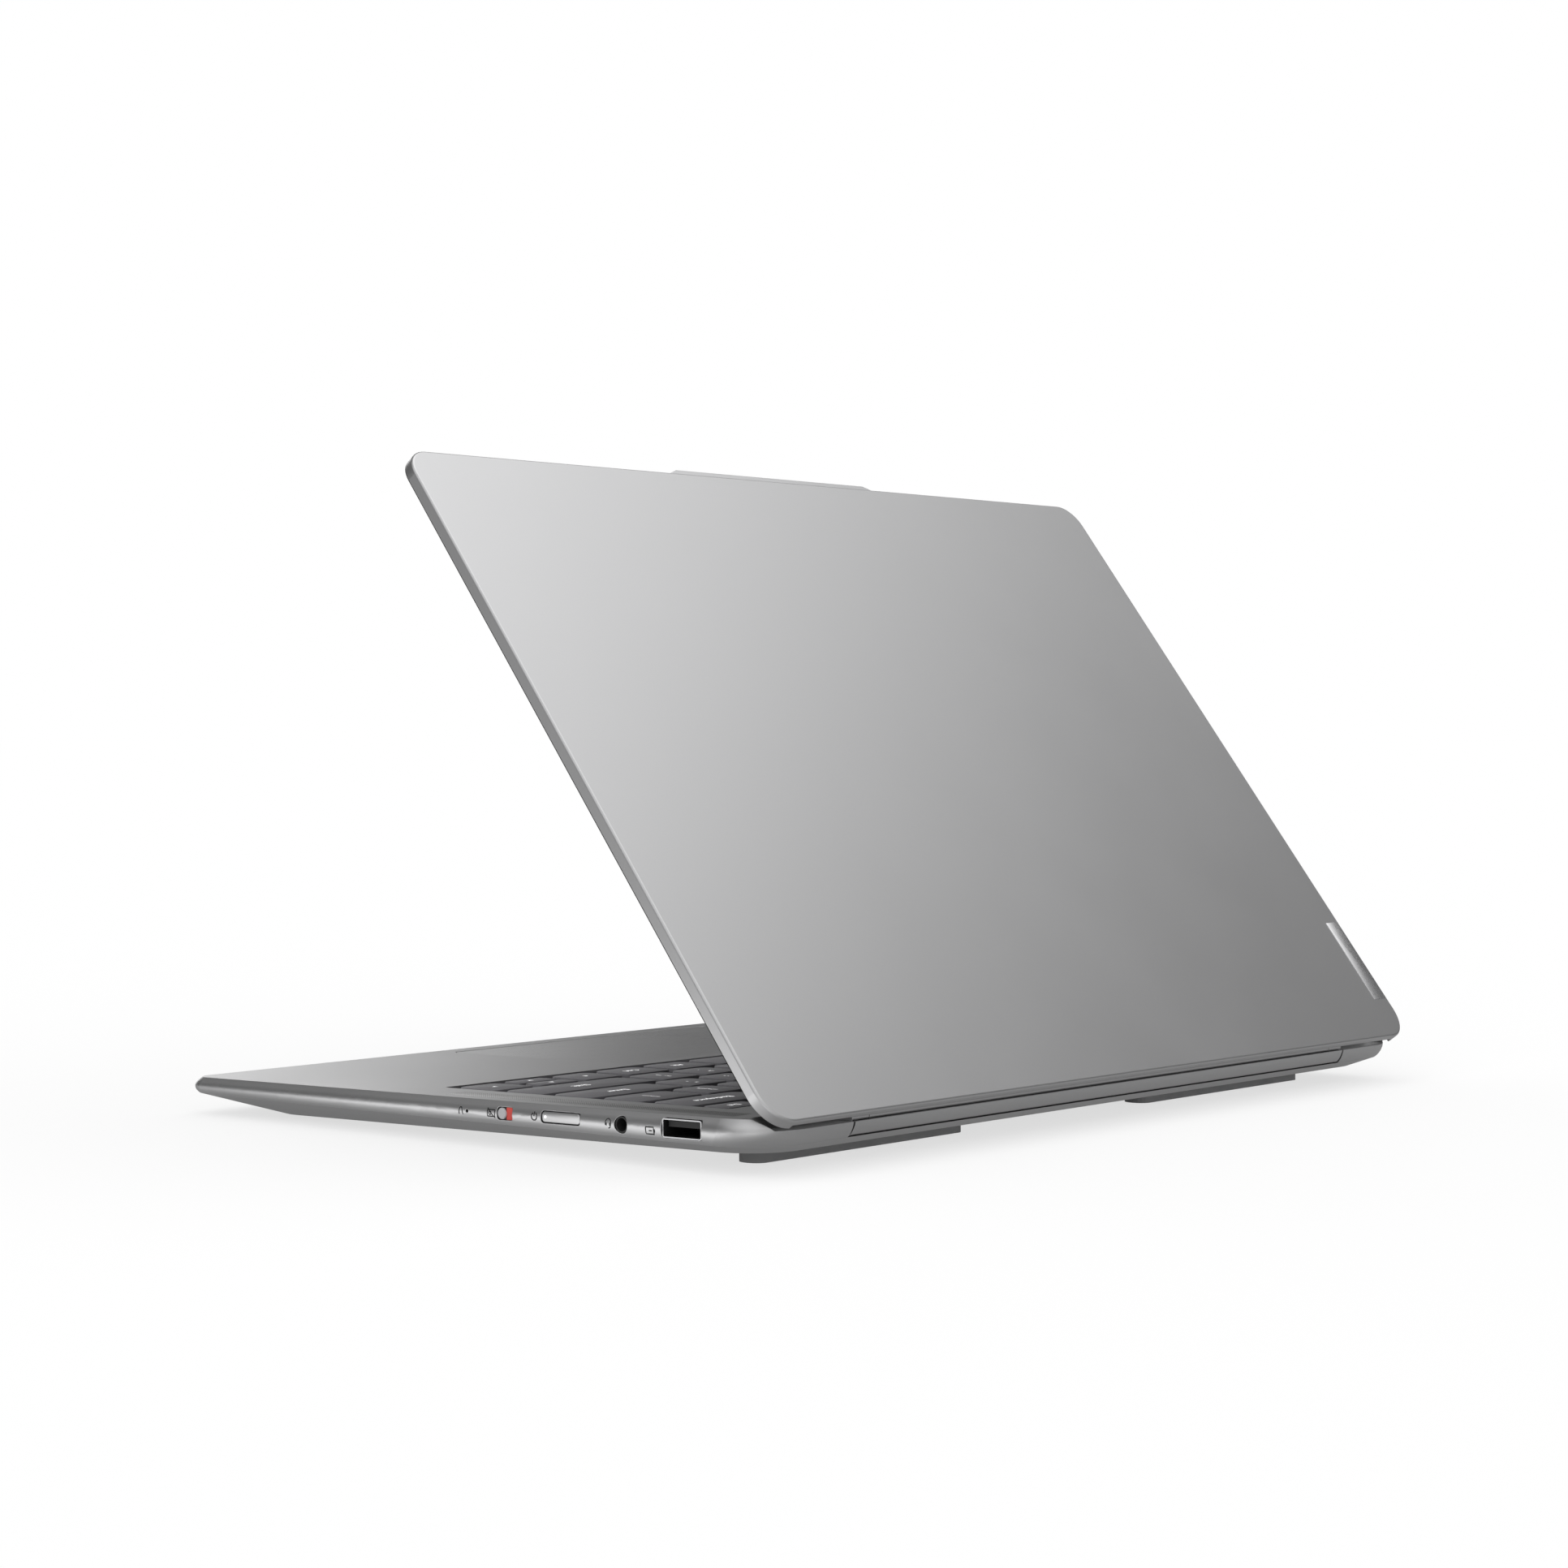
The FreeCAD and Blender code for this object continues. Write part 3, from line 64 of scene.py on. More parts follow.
class Value:
    """A number that varies over a surface; arithmetic on it adds the Math nodes."""

    def __init__(self, finish, socket):
        self.finish = finish
        self.socket = socket

    def math(self, operation, first, second=0.0):
        return self.finish.add("ShaderNodeMath", {"operation": operation}, {0: first, 1: second})

    def __add__(self, other):
        return self.math("ADD", self, other)

    def __sub__(self, other):
        return self.math("SUBTRACT", self, other)

    def __rsub__(self, other):
        return self.math("SUBTRACT", other, self)

    def __mul__(self, other):
        return self.math("MULTIPLY", self, other)

    def __gt__(self, other):
        return self.math("GREATER_THAN", self, other)

    def __lt__(self, other):
        return self.math("LESS_THAN", self, other)

    def __abs__(self):
        return self.math("ABSOLUTE", self)

    __radd__ = __add__
    __rmul__ = __mul__


class Nodes:
    """A tree of shader nodes."""

    def __init__(self, tree):
        self.tree = tree

    def add(self, kind, settings=None, sockets=None, output=0):
        """A node of any kind: its settings first, then the values or links of its sockets."""
        node = self.tree.nodes.new(kind)
        for name, value in (settings or {}).items():
            setattr(node, name, value)
        for key, value in (sockets or {}).items():
            self.link(value, node.inputs[key])
        return Value(self, node.outputs[output])

    def link(self, value, target):
        if isinstance(value, Value):
            self.tree.links.new(value.socket, target)
        else:
            target.default_value = value

    def ray(self, kind):
        """1 for rays of one kind, such as those that the camera sends."""
        return self.add("ShaderNodeLightPath", output=f"Is {kind} Ray")

    def rise(self, value, low, high):
        """A soft step from 0 at the low end to 1 at the high end."""
        return self.add("ShaderNodeMapRange", {"interpolation_type": "SMOOTHSTEP"},
                        {0: value, 1: low, 2: high})


class Finish(Nodes):
    """A surface finish: nodes that end in one shader."""

    def __init__(self, name, **constants):
        self.material = bpy.data.materials.new(name)
        self.material.use_nodes = True
        super().__init__(self.material.node_tree)
        self.shader = self.tree.nodes["Principled BSDF"]
        for socket, value in constants.items():
            self.shader.inputs[socket.replace("_", " ").title().replace("Ior", "IOR")].default_value = value

    def set(self, **sockets):
        """Give the shader what varies over the surface."""
        for name, value in sockets.items():
            self.link(value, self.shader.inputs[name.replace("_", " ").title()])

    def place(self):
        """Where a point of the surface is, in the object's frame."""
        return self.add("ShaderNodeTexCoord", output="Object")

    def axis(self, letter):
        return self.add("ShaderNodeSeparateXYZ", None, {0: self.place()}, letter.upper())

    def noise(self, scale, detail=2.0, stretch=(1.0, 1.0, 1.0)):
        where = self.add("ShaderNodeMapping", None, {"Vector": self.place(), "Scale": stretch})
        return self.add("ShaderNodeTexNoise", None, {"Vector": where, "Scale": scale, "Detail": detail})

    def blend(self, mask, first, second):
        """One colour where the mask is 0, the other where it is 1."""
        return self.add("ShaderNodeMix", {"data_type": "RGBA"}, {0: mask, 6: first, 7: second}, 2)

    def bump(self, height, depth, edge=0.0):
        """Raise the surface by a height, on edges rounded off by a radius."""
        sockets = {"Height": height, "Distance": depth, "Strength": 0.5}
        if edge:
            sockets["Normal"] = self.add("ShaderNodeBevel", {"samples": 6}, {"Radius": edge})
        return self.add("ShaderNodeBump", None, sockets)


def tone(red, green=None, blue=None):
    """An opaque colour, grey if only one number is given."""
    return (red, red if green is None else green, red if blue is None else blue, 1.0)


def blasted_metal(name, pale, dark, rough):
    """Bead-blasted, anodised aluminium: a fine sparkle, faint clouds and a satin gloss."""
    finish = Finish(name, metallic=1.0)
    grain = finish.noise(5200.0, 1.0)
    cloud = finish.noise(22.0, 3.0)
    finish.set(base_color=finish.blend(grain * 0.75 + cloud * 0.25, dark, pale),
               roughness=rough + (grain - 0.5) * 0.16 + (cloud - 0.5) * 0.05,
               normal=finish.bump(grain, 0.000012, 0.0003))
    return finish.material


def moulded_plastic(name, pale, dark, rough):
    """Matt moulded plastic with a spark-eroded texture."""
    finish = Finish(name, specular_ior_level=0.4)
    grain = finish.noise(2600.0, 2.0)
    cloud = finish.noise(60.0, 2.0)
    finish.set(base_color=finish.blend(cloud * 0.6 + grain * 0.4, dark, pale),
               roughness=rough + (grain - 0.5) * 0.2, normal=finish.bump(grain, 0.00002))
    return finish.material


def dull_rubber():
    """Grey rubber with a dusty, pebbled skin."""
    finish = Finish("foot_rubber", specular_ior_level=0.25)
    pebble = finish.add("ShaderNodeTexVoronoi", None, {"Vector": finish.place(), "Scale": 1800.0})
    dust = finish.noise(90.0, 4.0)
    finish.set(base_color=finish.blend(dust, tone(0.3, 0.3, 0.304), tone(0.38, 0.38, 0.385)),
               roughness=0.72 + dust * 0.2, normal=finish.bump(pebble, 0.00004))
    return finish.material


def plated_steel():
    """Rolled and plated sheet with faint draw lines."""
    finish = Finish("plated_steel", metallic=1.0)
    lines = finish.noise(900.0, 2.0, (0.08, 1.0, 1.0))
    spots = finish.noise(140.0, 3.0)
    finish.set(base_color=finish.blend(spots, tone(0.52, 0.52, 0.53), tone(0.66, 0.66, 0.67)),
               roughness=0.24 + lines * 0.2, normal=finish.bump(lines, 0.00001))
    return finish.material


RIM_FROM = 0.16195


def socket_metal():
    """A socket's bright rim around a black inside: the black tongue, and painted shade over the inner metal."""
    finish = Finish("socket_metal")
    rim = abs(finish.axis("x")) > RIM_FROM
    scuff = finish.noise(1500.0, 2.0)
    # Black beyond the rim is partly the tongue and partly painted shade on the socket's inner metal.
    finish.set(base_color=finish.blend(rim, tone(0.012), tone(0.5, 0.5, 0.51)), metallic=rim * 0.9,
               roughness=0.5 - rim * 0.26 + (scuff - 0.5) * 0.12)
    return finish.material


def off_screen():
    """A switched-off panel: near black, with the faintest grid of its cells."""
    finish = Finish("screen_glass", specular_ior_level=0.5)
    cells = finish.add("ShaderNodeTexBrick", {"offset": 0.0},
                       {"Vector": finish.place(), "Color1": tone(0.006, 0.007, 0.009),
                        "Color2": tone(0.007, 0.007, 0.01), "Mortar": tone(0.003), "Scale": 800.0,
                        "Mortar Size": 0.08, "Brick Width": 1.0, "Row Height": 1.0})
    haze = finish.noise(40.0, 2.0)
    finish.set(base_color=cells, roughness=0.18 + haze * 0.03)
    return finish.material


def circuit_board():
    """Green lacquer over copper tracks, with tinned pads."""
    finish = Finish("circuit_board", specular_ior_level=0.5)
    tracks = finish.add("ShaderNodeTexBrick", {"offset": 0.37, "squash": 0.6},
                        {"Vector": finish.place(), "Color1": tone(0.012, 0.07, 0.035),
                         "Color2": tone(0.018, 0.1, 0.045), "Mortar": tone(0.03, 0.16, 0.07), "Scale": 260.0,
                         "Mortar Size": 0.05, "Brick Width": 1.4, "Row Height": 0.4})
    cells = finish.add("ShaderNodeTexVoronoi", None, {"Vector": finish.place(), "Scale": 300.0})
    pad = cells < 0.16
    finish.set(base_color=finish.blend(pad, tracks, tone(0.55, 0.54, 0.5)), metallic=pad * 0.9,
               roughness=0.45 - pad * 0.15, normal=finish.bump(pad, 0.00003))
    return finish.material


def bare_metal(name, pale, dark, rough):
    """Unpainted metal with fine scratches one way and a little tarnish."""
    finish = Finish(name, metallic=1.0)
    scratch = finish.noise(1300.0, 2.0, (1.0, 0.1, 1.0))
    tarnish = finish.noise(55.0, 4.0)
    finish.set(base_color=finish.blend(tarnish, dark, pale), roughness=rough + (scratch - 0.5) * 0.2,
               normal=finish.bump(scratch, 0.00001))
    return finish.material


def film_wrap():
    """A battery's dark film, a little wrinkled."""
    finish = Finish("battery_wrap", specular_ior_level=0.45)
    wrinkle = finish.noise(120.0, 4.0)
    finish.set(base_color=finish.blend(wrinkle, tone(0.03, 0.03, 0.034), tone(0.06, 0.06, 0.066)),
               roughness=0.34 + wrinkle * 0.2, normal=finish.bump(wrinkle, 0.0002))
    return finish.material


def print_ink(name, colour, painted_glow=0.0):
    """Printed marks, a little uneven in their cover; a painted glow, where given, brightens letters that no lamp
    lights.
    """
    finish = Finish(name, emission_strength=painted_glow)
    cover = finish.noise(3000.0, 2.0)
    faded = tuple(channel * 0.86 for channel in colour[:3]) + (1.0,)
    ink = finish.blend(cover, faded, colour)
    finish.set(base_color=ink, emission_color=ink, roughness=0.6 + cover * 0.1)
    return finish.material


def slot_floor(red_from):
    """The shutter slot's floor: black, and red behind a place, where the open shutter's warning shows."""
    finish = Finish("slot_floor", specular_ior_level=0.4)
    behind = finish.axis("y") > red_from.y
    grain = finish.noise(2600.0, 2.0)
    finish.set(base_color=finish.blend(behind, tone(0.02), tone(0.62, 0.075, 0.06)),
               roughness=0.5 + grain * 0.15)
    return finish.material


HOLES_PER_METRE = 1250.0
HOLE_RADIUS_SQUARED = 0.075


def perforated_metal():
    """The same metal with a fine grid of holes, painted as dark spots of shade instead of cut."""
    finish = Finish("perforated_metal")
    across, along = [finish.add("ShaderNodeMath", {"operation": "FRACT"},
                                {0: finish.axis(letter) * HOLES_PER_METRE}) - 0.5 for letter in "xy"]
    # Each hole is a dark spot of painted shade.
    hole_shade = across * across + along * along < HOLE_RADIUS_SQUARED
    grain = finish.noise(5200.0, 1.0)
    finish.set(base_color=finish.blend(hole_shade, finish.blend(grain, tone(0.57), tone(0.63)), tone(0.02)),
               metallic=1.0 - hole_shade, roughness=0.36 + grain * 0.1)
    return finish.material


def black_seal():
    """Soft black rubber, faintly dusty."""
    finish = Finish("black_seal", specular_ior_level=0.2)
    dust = finish.noise(300.0, 4.0)
    finish.set(base_color=finish.blend(dust, tone(0.008), tone(0.02)), roughness=0.7 + dust * 0.2)
    return finish.material


ALUMINIUM = blasted_metal("anodised_aluminium", tone(0.635, 0.635, 0.64), tone(0.56, 0.56, 0.565), 0.34)
PAD_METAL = blasted_metal("pad_surface", tone(0.59, 0.59, 0.595), tone(0.53, 0.53, 0.535), 0.3)
KEY_PLASTIC = moulded_plastic("key_plastic", tone(0.2, 0.196, 0.21), tone(0.175, 0.171, 0.184), 0.5)
SLIDER_PLASTIC = moulded_plastic("slider_plastic", tone(0.5, 0.5, 0.51), tone(0.42, 0.42, 0.43), 0.36)
FINISHES = {
    "anodised_aluminium": ALUMINIUM,
    "key_plastic": KEY_PLASTIC,
    "pad_surface": PAD_METAL,
    "foot_rubber": dull_rubber(),
    "black_plastic": moulded_plastic("black_plastic", tone(0.026), tone(0.016), 0.55),
    "slider_plastic": SLIDER_PLASTIC,
    "screen_glass": off_screen(),
    "plated_steel": plated_steel(),
    "hinge_black": moulded_plastic("hinge_black", tone(0.06, 0.06, 0.063), tone(0.04, 0.04, 0.043), 0.38),
    "circuit_board": circuit_board(),
    "copper": bare_metal("copper", tone(0.78, 0.42, 0.28), tone(0.6, 0.3, 0.18), 0.3),
    "bare_fins": bare_metal("bare_fins", tone(0.76, 0.76, 0.77), tone(0.64, 0.64, 0.65), 0.3),
    "battery_wrap": film_wrap(),
}
# The key letters get a painted glow that keeps them bright in the shade under the lid.
LEGEND_INK_AND_PAINTED_GLOW = print_ink("legend_ink_and_painted_glow", tone(0.9), 0.7)
MARK_INK = print_ink("mark_ink", tone(0.02, 0.02, 0.021))

for name, node in frame["nodes"].items():
    node.data.materials.clear()
    node.data.materials.append(FINISHES[slot_of_node[name]])
SOCKET_METAL = socket_metal()
for name in ("usb_a_port", "hdmi_port", "usb_c_ports"):
    frame["nodes"][name].data.materials[0] = SOCKET_METAL
for name in ("hinge_tube", "hinge_bracket_left", "hinge_bracket_right"):
    frame["nodes"][name].data.materials[0] = ALUMINIUM


SHARP_FROM = math.radians(35)


def finished(name, shape, place, body, finish, stands_for=()):
    """Put a drawn shape in its place as a piece that rides on a body."""
    bmesh.ops.transform(shape, matrix=place, verts=shape.verts)
    bmesh.ops.recalc_face_normals(shape, faces=shape.faces)
    mesh = bpy.data.meshes.new(name)
    shape.to_mesh(mesh)
    shape.free()
    for face in mesh.polygons:
        face.use_smooth = True
    mesh.set_sharp_from_angle(angle=SHARP_FROM)
    mesh.materials.append(finish)
    piece = bpy.data.objects.new(name, mesh)
    scene.collection.objects.link(piece)
    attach(piece, body)
    if stands_for:
        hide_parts(*stands_for)


def add_shape(whole, part, place=Matrix.Identity(4)):
    """Add one drawn shape to another."""
    bmesh.ops.transform(part, matrix=place, verts=part.verts)
    mesh = bpy.data.meshes.new("part")
    part.to_mesh(mesh)
    part.free()
    whole.from_mesh(mesh)
    bpy.data.meshes.remove(mesh)


def outline(x, y, front, rear, segments):
    """A flat face with one corner radius at its front and one at its rear."""
    shape = bmesh.new()
    corners = bmesh.ops.create_grid(shape, x_segments=1, y_segments=1, size=0.5)["verts"]
    middle = Vector(((x[0] + x[1]) / 2, (y[0] + y[1]) / 2, 0))
    spread = Matrix.Diagonal((x[1] - x[0], y[1] - y[0], 1, 1))
    bmesh.ops.transform(shape, matrix=Matrix.Translation(middle) @ spread, verts=corners)
    near = [corner for corner in corners if corner.co.y < middle.y]
    far = [corner for corner in corners if corner.co.y > middle.y]
    for ends, radius in ((near, front), (far, rear)):
        bmesh.ops.bevel(shape, geom=ends, offset=radius, offset_type="OFFSET", affect="VERTICES",
                        segments=segments, profile=0.5, material=-1)
    return shape


def plate(x, y, z, front, rear, soften, segments=4):
    """A rounded plate with a softened upper edge."""
    shape = outline(x, y, front, rear, segments)
    bmesh.ops.solidify(shape, geom=shape.faces[:], thickness=z[1] - z[0])
    top = max(vertex.co.z for vertex in shape.verts)
    bmesh.ops.translate(shape, vec=(0, 0, z[1] - top), verts=shape.verts)
    rim = [edge for edge in shape.edges if all(abs(vertex.co.z - z[1]) < 1e-5 for vertex in edge.verts)]
    bmesh.ops.bevel(shape, geom=rim, offset=soften, offset_type="OFFSET", affect="EDGES", segments=2,
                    profile=0.5, material=-1)
    return shape


PRINT_DEPTH = 0.012


def letters(text, height, place):
    """Printed words, centred on their place."""
    curve = bpy.data.curves.new("letters", "FONT")
    curve.body = text
    curve.size = height
    curve.align_x = "CENTER"
    curve.align_y = "CENTER"
    curve.resolution_u = 2
    curve.extrude = PRINT_DEPTH
    holder = bpy.data.objects.new("letters", curve)
    mesh = bpy.data.meshes.new_from_object(holder)
    shape = bmesh.new()
    shape.from_mesh(mesh)
    bmesh.ops.remove_doubles(shape, verts=shape.verts, dist=1e-4)
    bmesh.ops.transform(shape, matrix=place, verts=shape.verts)
    bpy.data.meshes.remove(mesh)
    bpy.data.objects.remove(holder)
    bpy.data.curves.remove(curve)
    return shape


# Keys: fifteen widths across, five full rows and a shallow row at the rear
KEY_PITCH = 18.97
ROW_PITCH = 18.6
FUNCTION_PITCH = 12.4
KEY_SPACE = 2.9
KEY_LEFT = -142.275
KEYBOARD_FRONT = -22.4
KEY_TOP = 9.9
CAP_THICK = 1.3
FRONT_CORNER = 3.6
REAR_CORNER = 1.3
CAP_SOFTEN = 0.32
LETTER_HEIGHT = 5.2
WORD_HEIGHT = 3.7
SHALLOW_HEIGHT = 3.0
ARROW_RADIUS = 1.1


def singles(words):
    """Keys one width across, one for each word."""
    return [(1, word) for word in words]


KEY_ROWS = (
    (("bottom_row_keys", ((1.3, "Ctrl"), (1, "Fn"), (1, ""), (1.1, "Alt"))), ("space_bar", ((5.4, ""),)),
     ("bottom_row_keys", ((1.1, "Alt"), (1.1, "Ctrl")))),
    (("left_shift_key", ((2.3, "Shift"),)),
     ("lower_row_keys", singles((*"ZXCVBNM", "<\n,", ">\n.", "?\n/"))),
     ("right_shift_key", ((2.7, "Shift"),))),
    (("home_row_keys", [(1.8, "Caps Lock")] + singles((*"ASDFGHJKL", ":\n;", "\"\n'"))),
     ("enter_key", ((2.2, "Enter"),))),
    (("upper_row_keys",
      [(1.5, "Tab")] + singles((*"QWERTYUIOP", "{\n[", "}\n]")) + [(1.5, "|\n\\")]),),
    (("number_keys", singles("\n".join(pair) for pair in zip("~!@#$%^&*()_+", "`1234567890-="))),
     ("backspace_key", ((2, "Backspace"),))),
    (("function_keys", singles(["Esc"] + [f"F{count}" for count in range(1, 13)] + ["Ins", "Del"])),),
)
ARROW_START = 12
ARROWS = ((0, 0.0, 1.0, 90), (2, 0.0, 1.0, -90), (1, 0.0, 0.5, 180), (1, 0.5, 0.5, 0))

caps = defaultdict(bmesh.new)
legends = defaultdict(bmesh.new)


def add_key(label, x, y, front):
    """One key cap, its spaces taken off."""
    half = KEY_SPACE / 2
    add_shape(caps[label], plate((x[0] + half, x[1] - half), (y[0] + half, y[1] - half),
                                 (KEY_TOP - CAP_THICK, KEY_TOP), front, REAR_CORNER, CAP_SOFTEN))


def legend_place(x, y):
    return Matrix.Translation(((x[0] + x[1]) / 2, (y[0] + y[1]) / 2, KEY_TOP + PRINT_DEPTH))


for row, groups in enumerate(KEY_ROWS):
    low = KEYBOARD_FRONT + row * ROW_PITCH
    shallow = row == len(KEY_ROWS) - 1
    y = (low, low + (FUNCTION_PITCH if shallow else ROW_PITCH))
    reached = KEY_LEFT
    for label, keys in groups:
        for width, text in keys:
            x = (reached, reached + width * KEY_PITCH)
            add_key(label, x, y, FRONT_CORNER / 2 if shallow else FRONT_CORNER)
            if text:
                size = SHALLOW_HEIGHT if shallow else LETTER_HEIGHT if len(text) == 1 else WORD_HEIGHT
                add_shape(legends[label], letters(text, size, legend_place(x, y)))
            reached = x[1]
for offset, rise, share, turn in ARROWS:
    x = (KEY_LEFT + (ARROW_START + offset) * KEY_PITCH, KEY_LEFT + (ARROW_START + offset + 1) * KEY_PITCH)
    grow = 0 if share == 1.0 else KEY_SPACE / 4
    low = KEYBOARD_FRONT + rise * (ROW_PITCH - 2 * grow)
    y = (low, low + share * ROW_PITCH + grow)
    add_key("arrow_keys", x, y, FRONT_CORNER * share)
    head = bmesh.new()
    bmesh.ops.create_circle(head, cap_ends=True, radius=ARROW_RADIUS, segments=3)
    bmesh.ops.solidify(head, geom=head.faces[:], thickness=2 * PRINT_DEPTH)
    spun = legend_place(x, y) @ Matrix.Rotation(math.radians(turn), 4, "Z")
    add_shape(legends["arrow_keys"], head, spun)
for label, shape in caps.items():
    finished(label + "_caps", shape, ON_BASE, label, KEY_PLASTIC, (label,))
    if len(legends[label].verts):
        finished(label + "_legends", legends[label], ON_BASE, label, LEGEND_INK_AND_PAINTED_GLOW)

# Power button: a long pill with a softened face and a lamp at its front end
BUTTON_Y = (33.92, 48.02)
BUTTON_Z = (5.3, 8.3)
BUTTON_X = (158.85, 162.5)
BUTTON_CORNER = 1.1
BUTTON_SOFTEN = 0.45
LAMP_PLACE = (35.3, 6.8, BUTTON_X[1] + 0.03)
LAMP_FOOT = 0.42
LAMP_FACE = 0.36
LAMP_THICK = 0.08
button = plate(BUTTON_Y, BUTTON_Z, BUTTON_X, BUTTON_CORNER, BUTTON_CORNER, BUTTON_SOFTEN, 6)
finished("power_button_cap", button, ON_SIDE, "power_button", ALUMINIUM,
         ("power_button",))
lit = Finish("lit_lens", emission_strength=1.0)
ripple = lit.noise(2500.0, 1.0)
lit.set(base_color=lit.blend(ripple, tone(0.85), tone(0.95)),
        emission_color=lit.blend(ripple, tone(0.9), tone(1.0)))
lamp = bmesh.new()
bmesh.ops.create_cone(lamp, cap_ends=True, segments=16, radius1=LAMP_FOOT, radius2=LAMP_FACE,
                      depth=LAMP_THICK)
finished("power_lamp", lamp, ON_SIDE @ Matrix.Translation(LAMP_PLACE), "power_button",
         lit.material)

# Camera shutter: a round knob in its slot, over a floor that is red at the open end
SLOT_Y = (17.24, 22.94)
SLOT_Z = (5.05, 8.45)
SLOT_MIDDLE = 6.75
SLOT_CORNER = 0.7
SLOT_X = (158.6, 162.1)
RED_FROM = 20.4
KNOB_START = 18.94
KNOB_RADIUS = 1.58
KNOB_THICK = 0.56
KNOB_SOFTEN = 0.4
KNOB_LIFT = 0.3
slot_plate = plate(SLOT_Y, SLOT_Z, SLOT_X, SLOT_CORNER, SLOT_CORNER, 0.05)
finished("shutter_slot_floor", slot_plate, ON_SIDE, "base",
         slot_floor(ON_SIDE @ Vector((RED_FROM, SLOT_MIDDLE, SLOT_X[1]))))
knob = bmesh.new()
bmesh.ops.create_cone(knob, cap_ends=True, segments=40, radius1=KNOB_RADIUS, radius2=KNOB_RADIUS,
                      depth=KNOB_THICK)
crown = [edge for edge in knob.edges if all(vertex.co.z > 0 for vertex in edge.verts)]
bmesh.ops.bevel(knob, geom=crown, offset=KNOB_SOFTEN, offset_type="OFFSET", affect="EDGES", segments=4,
                profile=0.5, material=-1)
knob_place = ON_SIDE @ Matrix.Translation((KNOB_START, SLOT_MIDDLE, SLOT_X[1] + KNOB_LIFT))
finished("shutter_knob", knob, knob_place, "shutter_slider", SLIDER_PLASTIC,
         ("shutter_slider",))

# Printed marks along the right side, laid on its bulging wall
RIM_SIDE = 1.93
RIM_PEAK = 0.55
HALF_WIDTH = 162.75
DECK_TOP = 10.0
WALL_HEIGHT = 6.05
WALL_TAPER = math.tan(math.radians(0.71))
STROKE = 0.17
STROKE_RELIEF = 0.07
MARK_STEP = 0.3
MARKS = (
    # arch beside the pinhole
    (3.3, 6.7, False, ((-0.75, -1.0), (-0.62, 0.3), (-0.25, 1.0), (0.25, 0.95), (0.5, 0.3), (0.75, -1.0))),
    # crossed-out camera
    (15.0, 6.7, True, ((-1.4, -0.9), (1.4, -0.9), (1.4, 0.9), (-1.4, 0.9))),
    (15.0, 6.7, False, ((-1.5, 1.3), (1.5, -1.3))),
    (14.6, 6.7, True, ((-0.5, 0.0), (-0.25, 0.42), (0.25, 0.42), (0.5, 0.0), (0.25, -0.42), (-0.25, -0.42))),
    # on and off
    (31.3, 6.7, False, ((-0.5, 0.95), (-1.0, 0.35), (-0.95, -0.4), (-0.4, -0.95), (0.4, -0.95),
                        (0.95, -0.4), (1.0, 0.35), (0.5, 0.95))),
    (31.3, 6.7, False, ((0.0, 0.1), (0.0, 1.35))),
    # headset
    (58.4, 6.5, False, ((-0.9, -0.5), (-0.9, 0.5), (-0.5, 1.15), (0.1, 1.3), (0.7, 1.0), (1.0, 0.4),
                        (1.0, -0.3), (0.75, -1.0), (0.1, -1.3))),
    (58.4, 6.5, False, ((-0.55, -0.6), (-0.55, 0.2))),
    (58.4, 6.5, False, ((0.6, -0.6), (0.6, 0.2))),
    # socket that charges while the computer sleeps
    (73.4, 5.5, True, ((-1.6, -0.95), (1.2, -0.95), (1.2, 0.95), (-1.6, 0.95))),
    (73.4, 5.5, False, ((1.5, -0.45), (1.5, 0.45))),
    (73.4, 5.5, False, ((-0.5, 0.0), (0.6, 0.0))),
)


def side_wall(y, z):
    """How far out the right wall is at a height."""
    share = (DECK_TOP - z) / (WALL_HEIGHT + WALL_TAPER * y)
    return HALF_WIDTH - RIM_SIDE * ((share - RIM_PEAK) / RIM_PEAK) ** 2


marks = bmesh.new()
for across, up, closed, points in MARKS:
    curve = bpy.data.curves.new("stroke", "CURVE")
    curve.dimensions = "3D"
    curve.bevel_depth = STROKE
    curve.bevel_resolution = 1
    curve.use_fill_caps = True
    line = []
    for start, end in zip(points, points[1:] + points[:1] if closed else points[1:]):
        run = Vector(end) - Vector(start)
        pace = max(1, round(run.length / MARK_STEP))
        line += [Vector(start) + run * step / pace for step in range(pace)]
    line += [] if closed else [Vector(points[-1])]
    spline = curve.splines.new("POLY")
    spline.points.add(len(line) - 1)
    spline.use_cyclic_u = closed
    for point, spot in zip(spline.points, line):
        point.co = (across + spot.x, up + spot.y, 0, 1)
    holder = bpy.data.objects.new("stroke", curve)
    mesh = bpy.data.meshes.new_from_object(holder)
    marks.from_mesh(mesh)
    bpy.data.meshes.remove(mesh)
    bpy.data.objects.remove(holder)
    bpy.data.curves.remove(curve)
for vertex in marks.verts:
    vertex.co.z = side_wall(vertex.co.x, vertex.co.y) + vertex.co.z * STROKE_RELIEF
finished("side_marks", marks, ON_SIDE, "base", MARK_INK)

# Inlays over the speakers, beside the keys, with perforations painted as dark spots of shade
INLAY_X = (148.42, 156.38)
INLAY_Y = (-8.98, 96.68)
INLAY_Z = (DECK_TOP - 0.98, DECK_TOP)
INLAY_CORNER = 0.2
METAL_WITH_PAINTED_HOLES = perforated_metal()
for label, x in (("right", INLAY_X), ("left", (-INLAY_X[1], -INLAY_X[0]))):
    inlay = plate(x, INLAY_Y, INLAY_Z, INLAY_CORNER, INLAY_CORNER, 0.04)
    finished(f"speaker_inlay_{label}", inlay, ON_BASE, "base", METAL_WITH_PAINTED_HOLES,
             (f"speaker_grille_{label}",))

